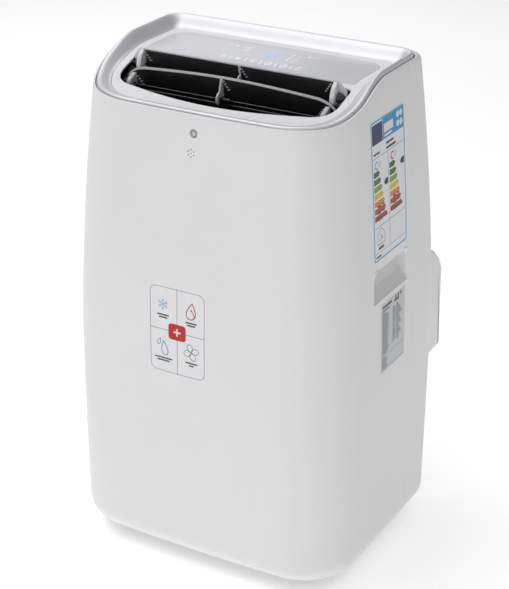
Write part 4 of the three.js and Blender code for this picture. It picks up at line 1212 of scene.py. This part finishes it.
def make_sticker():
    left, right, low, high = STICKER["left"], STICKER["right"], STICKER["low"], STICKER["high"]
    middle_x, middle_z = (left + right) / 2, (low + high) / 2
    pitch = (8, 8)
    base = plate(bmesh.new(), rectangle(left, right, low, high, 1.5), [], 0.05, 0.2, on_front, pitch=pitch)
    dress(to_object(base, "sticker"), M["paper"], "casing", "white_shell")

    def print_on(name, colour, shapes, height=0.26):
        printed(f"sticker_{name}", INK[colour], shapes, on_front, 0.2, height, "white_shell", pitch)

    border = rectangle(left + 4, right - 4, low + 6, high - 6, 11, 8)
    frame_lines = [stroke(border, 0.7, True), stroke([(middle_x, low + 6), (middle_x, high - 6)], 0.7),
                   stroke([(left + 4, middle_z), (right - 4, middle_z)], 0.7)]
    print_on("lines", "line", frame_lines, 0.24)
    badge = rectangle(middle_x - 14.5, middle_x + 14.5, middle_z - 12.5, middle_z + 12.5, 6, 8)
    print_on("badge", "red", [[badge]], 0.3)
    plus = [stroke([(middle_x - 6, middle_z), (middle_x + 6, middle_z)], 2.4),
            stroke([(middle_x, middle_z + 1.2), (middle_x, middle_z + 6)], 2.4),
            stroke([(middle_x, middle_z - 6), (middle_x, middle_z - 1.2)], 2.4)]
    print_on("badge_mark", "paper", plus, 0.36)
    qx, qz = (right - left - 8) / 4, (high - low - 12) / 4
    x0, x1 = middle_x - qx - 1, middle_x + qx + 1
    z0, z1 = middle_z - qz, middle_z + qz
    print_on("snow", "ice", snowflake(x0, z1 + 6, 8.2))
    flame = [stroke(drop_loop(x1, z1 + 5, 20, 25, 1.5), 1.4, True),
             stroke(drop_loop(x1 + 1, z1 + 0.5, 9, 14, -0.8), 1.2, True)]
    print_on("flame", "flame", flame)
    drops = [stroke(drop_loop(x0 + 2, z0 + 4, 14, 22, -1.5), 1.3, True),
             stroke(drop_loop(x0 - 7, z0 + 13, 7, 10, 2.0), 1.1, True)]
    print_on("drops", "water", drops)
    print_on("fan", "leaf", fan_leaves(x1, z0 + 7, 13))
    words = (text_bars(x0, z1 - 9, (20, 14)) + text_bars(x1, z1 - 12, (19, 14))
             + text_bars(x0, z0 - 11, (30, 21)) + text_bars(x1, z0 - 9, (20, 8)))
    print_on("words", "grey", words)


make_sticker()


# ---------------- labels on the right side

ENERGY = {"front": -56, "rear": 49, "low": 509, "high": 711}
RATING = {"front": -35, "rear": 42, "low": 330, "high": 439}


def label_base(name, place, material, radius):
    loop = rectangle(place["front"], place["rear"], place["low"], place["high"], radius)
    base = plate(bmesh.new(), loop, [], 0.05, 0.2, on_right, pitch=(None, 8))
    dress(to_object(base, name), material, "casing", "white_shell")


def side_print(name, colour, shapes, height=0.26):
    printed(name, INK[colour], shapes, on_right, 0.2, height, "white_shell", (None, 8))


def box_loop(y0, y1, z0, z1, radius=0.0):
    return [rectangle(y0, y1, z0, z1, radius, 4)]


def make_energy_label():
    front, rear, low, high = (ENERGY[key] for key in ("front", "rear", "low", "high"))
    middle = (front + rear) / 2 - 2
    label_base("energy_label", ENERGY, M["paper"], 5)
    border = [stroke(rectangle(front + 1.6, rear - 1.6, low + 1.6, high - 1.6, 4, 6), 2.2, True)]
    left, right = front + 4, rear - 4
    dividers = [stroke([start, end], width) for start, end, width in (
        ((left, high - 52), (right, high - 52), 0.9), ((middle, low + 50), (middle, high - 52), 0.9),
        ((left, low + 50), (right, low + 50), 0.9), ((left, low + 12), (right, low + 12), 0.7),
        ((middle, low + 12), (middle, low + 50), 0.9),
    )]
    side_print("energy_border", "sky", border + dividers)
    side_print("energy_header_dark", "navy", [box_loop(front + 4, front + 36, high - 33, high - 5, 1)])
    side_print("energy_header", "cyan", [box_loop(front + 37, rear - 3, high - 33, high - 3, 1)])
    header_marks = [box_loop(front + 41, front + 70, high - 24, high - 12, 1),
                    box_loop(front + 41, front + 66, high - 30, high - 27, 0.6)]
    for k in range(4):
        header_marks.append([circle(rear - 20 + 10 * (k % 2), high - 10 - 13 * (k // 2), 4.6, 20)])
    side_print("energy_header_marks", "paper", header_marks, 0.3)
    tones = ("bar_a", "bar_b", "bar_c", "bar_d", "bar_e", "bar_f", "bar_g")
    for row, tone in enumerate(tones):
        shapes = []
        for start in (front + 5, middle + 3):
            z = high - 79 - row * 10.6
            end = start + 15 + row * 3.2
            shapes.append([[(start, z), (end, z), (end + 3.6, z + 4), (end, z + 8), (start, z + 8)]])
        side_print(f"energy_{tone}", tone, shapes)
    tags = []
    for end, z in ((middle - 2, high - 98), (rear - 4, high - 84)):
        tags.append([[(end - 13, z + 4.5), (end - 9, z), (end, z), (end, z + 9), (end - 9, z + 9)]])
    side_print("energy_tags", "black", tags)
    marks = []
    for start in (front + 8, middle + 6):
        for row, width in enumerate((22, 24, 34)):
            z = low + 78 - 9.5 * row
            first, last = start + width * 0.45, start + width * 0.8
            marks.append(box_loop(start + 6, first + 6, z, z + 5, 0.8))
            marks.append(box_loop(first + 9, last + 9, z + 0.8, z + 3.4, 0.6))
    for k, width in enumerate((24, 30)):
        marks.append(box_loop(front + 46, front + 46 + width, high - 42 - 7 * k, high - 38.5 - 7 * k, 0.6))
    marks.append(box_loop(front + 6, front + 26, high - 48, high - 45, 0.6))
    marks.append(box_loop(front + 14, front + 30, low + 16, low + 20, 0.8))
    marks.append(box_loop(front + 6, front + 22, low + 5, low + 8, 0.6))
    side_print("energy_words", "grey", marks)
    for name, tone, y in (("cool", "sky", front + 15), ("warm", "bar_f", middle + 14)):
        z = high - 63
        arc, tick = circle(y, z, 5, 20)[2:-2], [(y + 7, z - 4), (y + 12, z + 4)]
        side_print(f"energy_{name}_mark", tone, [stroke(arc, 2.0), stroke(tick, 1.4)])
    wall, eaves = low + 24, low + 38
    house = [(front + 12, wall), (front + 34, wall), (front + 34, eaves), (front + 23, low + 47),
             (front + 12, eaves)]
    wave = [(front + 20, low + 28), (front + 24, low + 36), (front + 27, low + 30)]
    side_print("energy_house", "line", [stroke(house, 0.8, True), stroke(wave, 1.4)])


def make_rating_label():
    front, rear, low, high = (RATING[key] for key in ("front", "rear", "low", "high"))
    label_base("rating_label", RATING, M["plate_foil"], 1)
    lines = [stroke([(front + 2, low + 24), (rear - 2, low + 24)], 0.5),
             stroke([(front + 1, low + 1), (rear - 1, low + 1)], 0.5)]
    words = [box_loop(front + 3, front + 34, high - 9, high - 5, 0.8),
             box_loop(front + 42, front + 58, high - 12, high - 8, 0.8),
             box_loop(front + 3, front + 26, high - 14, high - 11.5, 0.6)]
    words += [[circle(front + 47 + 8.5 * k, high - 5, 2.8, 16)] for k in range(3)]
    for row in range(17):
        z = high - 19 - row * 3.9
        first = 14 + (row * 7) % 11
        words.append(box_loop(front + 3, front + 3 + first, z, z + 1.9, 0.4))
        if row < 15:
            second = 5 + (row * 5) % 7
            words.append(box_loop(front + 37, front + 37 + second, z, z + 1.9, 0.4))
            words.append(box_loop(front + 49, front + 55 + (row * 3) % 13, z, z + 1.9, 0.4))
    for row in range(5):
        z = low + 5 + 3.6 * row
        words.append(box_loop(front + 3, front + 22 - (row * 3) % 8, z, z + 1.8, 0.4))
    side_print("rating_words", "text", words)
    side_print("rating_lines", "line", lines)


make_energy_label()
make_rating_label()


# ---------------- back of the machine

def hood_front(x, z):
    """The rear skin in y at x and z, with the corner's curve taken in."""
    radius = corner_radius(REAR_CORNER, z, 0, 12)
    centre = reach(HALF_WIDTH, z) - radius
    over = clamp(x - centre, 0, radius - 0.5)
    return reach(REAR, z) - (radius - math.sqrt(radius * radius - over * over)) + 0.4


def make_hood():
    """The exhaust hood: soft top, a crease near its upper edge, side edges rounded over."""
    x0, x1, low, high = HOOD["x0"], HOOD["x1"], HOOD["low"], HOOD["high"]
    back = HOOD["back"]
    outer = rounded([
        (120, low), (back - 3.4, low + 3), (back, low + 9), (209.2, 402), (205, 410), (197.5, 422),
        (181, 437), (157, high), (120, high),
    ], [0, 6, 5, 5, 6, 16, 22, 20, 0], 7)
    soft = 7
    eased = []
    for i in range(7):
        angle = math.pi / 2 * i / 6
        eased.append((x0 + soft * (1 - math.cos(angle)), soft * (1 - math.sin(angle))))
    middle = [(lerp(x0 + soft, x1 - soft, i / 12), 0) for i in range(1, 12)]
    across = eased + middle + [(x0 + x1 - x, inset) for x, inset in eased[::-1]]
    sections = []
    for x, inset in across:
        section = []
        for y, z in grown(outer, -inset):
            section.append((x, max(y, hood_front(x, z)), z))
        sections.append(section)
    hood = to_object(stack(bmesh.new(), sections), "exhaust_hood_shell")
    axis, bore = (HOOD["axis_x"], HOOD["axis_z"]), HOOD["bore"]
    boss = [(0, 196), (bore + 6, 196), (bore + 6, 213), (bore + 5.4, 213.6), (0, 213.6)]
    carve(hood, turn(bmesh.new(), "y", *axis, boss, 72), "UNION")
    carve(hood, rod(bmesh.new(), "y", *axis, bore, 100, 260, 72))
    dress(hood, M["white"], "casing", "white_shell", "exhaust_hood")


def make_collar():
    """Hose collar with a ribbed bore and a flat flange."""
    bore = HOOD["bore"]
    profile = [(bore - 3, 194.6), (bore - 2.6, 194), (bore - 0.6, 194), (bore - 0.6, 214), (bore + 5, 214),
               (bore + 5.5, 214.5), (bore + 5.5, 216), (bore + 5, 216.5), (bore - 2.5, 216.5),
               (bore - 3, 216)]
    for k in range(5):
        y = 213 - 3.6 * k
        profile += [(bore - 3, y), (bore - 3.8, y - 0.6), (bore - 3.8, y - 1.2), (bore - 3, y - 1.8)]
    collar = turn(bmesh.new(), "y", HOOD["axis_x"], HOOD["axis_z"], profile, 96)
    dress(to_object(collar, "hose_collar_ring"), M["grey"], "hose_collar", "grey_plastic", "hose_collar")


def make_grille(name, window, rows, columns):
    """A filter cassette's grille: a rim with soft edges, slats and upright bars."""
    half, low, high = window["half"], window["low"], window["high"]
    border = 9
    inner_half, inner_low, inner_high = half - border, low + border, high - border
    rim = rectangle(-half, half, low, high, 8, 8)
    hole = rectangle(-inner_half, inner_half, inner_low, inner_high, 4)
    mesh = plate(bmesh.new(), rim, [hole[::-1]], -7, 0, on_rear, edge=1.2, pitch=(None, 12))
    pitch = (high - low - 2 * border) / rows
    for row in range(rows):
        z = inner_low + (row + 0.5) * pitch
        corners = [(-6.4, z - pitch * 0.32), (-0.4, z - pitch * 0.05), (-0.4, z + pitch * 0.16),
                   (-6.4, z - pitch * 0.1)]
        slat = [(reach(REAR, c) + depth, c) for depth, c in rounded(corners, 0.5, 3)]
        layers(mesh, "x", (-inner_half - 0.6, inner_half + 0.6), slat)
    for column in range(1, columns):
        x = lerp(-inner_half, inner_half, column / columns)
        bar = rectangle(x - 1.4, x + 1.4, inner_low - 0.6, inner_high + 0.6)
        plate(mesh, bar, [], -6.8, -0.7, on_rear, edge=0.4, pitch=(None, 12))
    dress(to_object(mesh, f"{name}_grille_cassette"), M["white"], name, "white_shell", f"{name}_grille")
    sheet = rectangle(-half + 6.4, half - 6.4, low + 6.4, high - 6.4, 2)
    net = plate(bmesh.new(), sheet, [], -9.6, -8.6, on_rear, pitch=(None, 12))
    dress(to_object(net, f"{name}_net"), M["net"], name, "filter_net", f"{name}_mesh")


def make_plug(name, x, z, spigot):
    """A drain plug: a spigot, a dished head and a web across the dish to turn it by."""
    face = reach(REAR, z) + 0.5
    head = 13
    profile = [(0, face - 9), (spigot - 0.6, face - 9), (spigot, face - 8.4), (spigot, face),
               (head - 0.4, face), (head, face + 0.5), (head, face + 2.6), (head - 0.5, face + 3.2),
               (head - 1.8, face + 5.2),
               (head - 3, face + 6), (head - 6.5, face + 6), (head - 7.2, face + 4.8), (0, face + 4.8)]
    mesh = turn(bmesh.new(), "y", x, z, profile, 56)
    web = rectangle(x - 6.2, x + 6.2, z - 1.2, z + 1.2, 0.8)
    layers(mesh, "y", (face + 4.9, face + 5.6, face + 6), web, web, grown(web, -0.4))
    dress(to_object(mesh, f"{name}_turned"), M["grey"], name, "grey_plastic", name)


def make_gland():
    """The cord gland: a flange and a ribbed sleeve, with an open bore."""
    x, z = GLAND["x"], GLAND["z"]
    face = reach(REAR, z) + 0.5
    profile = [(3.6, face - 12), (8.5, face - 12), (8.5, face), (12.6, face), (13, face + 0.4),
               (13, face + 2.6), (12.4, face + 3.2)]
    for k in range(3):
        rib, groove, foot = 10.6 - k, 8.6 - k * 0.8, face + 1.9 * k
        profile += [(rib, foot + 3.4), (rib, foot + 4.4), (groove, foot + 4.6), (groove, foot + 5.1)]
    profile += [(3.9, face + 9), (3.6, face + 8.7)]
    gland = turn(bmesh.new(), "y", x, z, profile, 48)
    dress(to_object(gland, "cord_gland_turned"), M["black"], "casing", "black_plastic", "cord_gland")


def screw(mesh, x, z):
    """A pan-head screw in the rear cover: four blocks in its dished head leave a cross between them."""
    face = reach(REAR, z)
    radius = 3.4
    head = [(0, face - 1), (radius, face - 1), (radius, face + 0.3), (radius * 0.8, face + 0.9),
            (radius * 0.55, face + 1.15), (radius * 0.5, face + 0.5), (0, face + 0.5)]
    turn(mesh, "y", x, z, head, 28)
    for k in range(4):
        a = math.radians(90 * k + 45)
        cx, cz = x + 1.25 * math.cos(a), z + 1.25 * math.sin(a)
        block = [(cx + 0.62 * math.cos(a + t), cz + 0.62 * math.sin(a + t)) for t in (0.8, 2.35, 3.93, 5.5)]
        layers(mesh, "y", (face + 0.55, face + 1.0, face + 1.15), block, block, grown(block, -0.2))


SCREWS = [(x, z) for x in (-185, 185) for z in (120, 240, 470, 640)] + [(x, 710) for x in (-120, 0, 120)]


def make_screws():
    mesh = bmesh.new()
    for x, z in SCREWS:
        screw(mesh, x, z)
    dress(to_object(mesh, "rear_screws"), M["steel"], "casing", "steel")


make_hood()
make_collar()
make_grille("upper_filter", UPPER_WINDOW, 17, 5)
make_grille("lower_filter", LOWER_WINDOW, 12, 5)
for drain, place_and_size in DRAINS.items():
    make_plug(drain, *place_and_size)
make_gland()
make_screws()


# ---------------- castors

CASTOR = {"x": 150, "front": -95, "rear": 90, "radius": 17, "width": 14, "trail": 12}


def make_castors():
    """The four wheels. Their forks and axles stay as the CAD has them."""
    for end in ("front", "rear"):
        for side_name, side in (("left", -1), ("right", 1)):
            name = f"{end}_{side_name}"
            x, y = side * CASTOR["x"], CASTOR[end] + CASTOR["trail"]
            half, radius = CASTOR["width"] / 2, CASTOR["radius"]
            hub = [(2.9, half), (4.6, half), (5.2, half - 0.6), (10.6, half - 0.6), (11.2, half),
                   (15.2, half)]
            profile = [(r, x - h) for r, h in hub]
            for k in range(7):
                angle = math.pi * k / 6
                profile.append((radius - 2 + 2 * math.sin(angle), x - (half - 1.4) * math.cos(angle)))
            profile += [(r, x + h) for r, h in hub[::-1]]
            wheel = turn(bmesh.new(), "x", y, radius, profile, 64)
            dress(to_object(wheel, f"castor_tyre_{name}"), M["rubber"], f"castor_roller_{name}", "rubber",
                  f"castor_wheel_{name}")


make_castors()


# ---------------- CAD nodes that stay

KEPT = {
    "control_board": "board", "display_module": "black", "outlet_duct": "black", "louver_link": "dark",
    "louver_motor": "steel", "base_pan": "dark", "compressor": "black_paint", "accumulator": "black_paint",
    "evaporator": "fins", "condenser": "fins", "discharge_pipe": "copper", "suction_pipe": "copper",
    "capillary": "copper", "condensate_tray": "foam", "exhaust_duct": "foam", "electrical_box": "steel",
}
KEPT_START = {"castor_fork": "dark", "castor_axle": "steel", "compressor_mount": "rubber"}
KEPT_END = {"scroll": "foam", "cover": "foam", "wheel": "dark", "motor": "steel", "shaft": "steel"}


def kept_look(name):
    """The material of a CAD node that is shown as it is, by its name, its last word or its first ones."""
    for start, look in KEPT_START.items():
        if name.startswith(start):
            return look
    return KEPT.get(name) or KEPT_END[name.rsplit("_", 1)[-1]]


def finish_cad_nodes():
    for name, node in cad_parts.items():
        if not node.hide_render:
            node.data.materials.clear()
            node.data.materials.append(M[kept_look(name)])


finish_cad_nodes()


# ---------------- stage and light

def make_stage():
    size = 14
    mesh = bmesh.new()
    corners = [(-size, -size), (size, -size), (size, size), (-size, size)]
    mesh.faces.new([mesh.verts.new((x, y, 0)) for x, y in corners])
    floor = to_object(mesh, "floor")
    paper = surface("floor_paper", (0.90, 0.90, 0.90), (0.92, 0.92, 0.92), (0.8, 0.9), bump=0.0, cloud=1,
                    specular=0.1)
    shader = paper.node_tree.nodes["Principled BSDF"]
    shader.inputs["Emission Color"].default_value = (1, 1, 1, 1)
    shader.inputs["Emission Strength"].default_value = 0.46
    floor.data.materials.append(paper)


def area_light(name, place, target, size, radiance):
    """A soft rectangular light, set by how bright its face is, and never seen by the camera."""
    data = bpy.data.lights.new(name, "AREA")
    data.shape = "RECTANGLE"
    data.size, data.size_y = size
    data.energy = radiance * math.pi * size[0] * size[1]
    light = bpy.data.objects.new(name, data)
    light.location = place
    light.rotation_euler = (Vector(target) - Vector(place)).to_track_quat("-Z", "Y").to_euler()
    light.visible_camera = False
    bpy.context.scene.collection.objects.link(light)


def make_light():
    """An even white sky, a little dimmer towards +X, and three soft lights."""
    world = bpy.data.worlds.new("studio")
    world.use_nodes = True
    nodes, links = world.node_tree.nodes, world.node_tree.links
    background = nodes["Background"]
    background.inputs["Color"].default_value = (1, 1, 1, 1)
    place = add_node(nodes, "ShaderNodeTexCoord")
    split = add_node(nodes, "ShaderNodeSeparateXYZ")
    links.new(place.outputs["Generated"], split.inputs["Vector"])
    fade = {"From Min": -1.0, "From Max": 0.6, "To Min": 0.36, "To Max": 0.29}
    fall = add_node(nodes, "ShaderNodeMapRange", fade)
    links.new(split.outputs["X"], fall.inputs["Value"])
    links.new(fall.outputs["Result"], background.inputs["Strength"])
    bpy.context.scene.world = world
    area_light("front_soft", (0.9, -3.4, 1.4), (0, 0, 0.4), (2.0, 1.8), 1.7)
    area_light("top_soft", (-0.8, -0.3, 3.0), (0, 0, 0.7), (2.6, 2.2), 2.1)
    area_light("back_card", (-2.0, 2.4, 1.9), (0, 0, 0.7), (1.6, 1.8), 0.9)


make_stage()
make_light()
bpy.context.scene.view_settings.view_transform = "Standard"
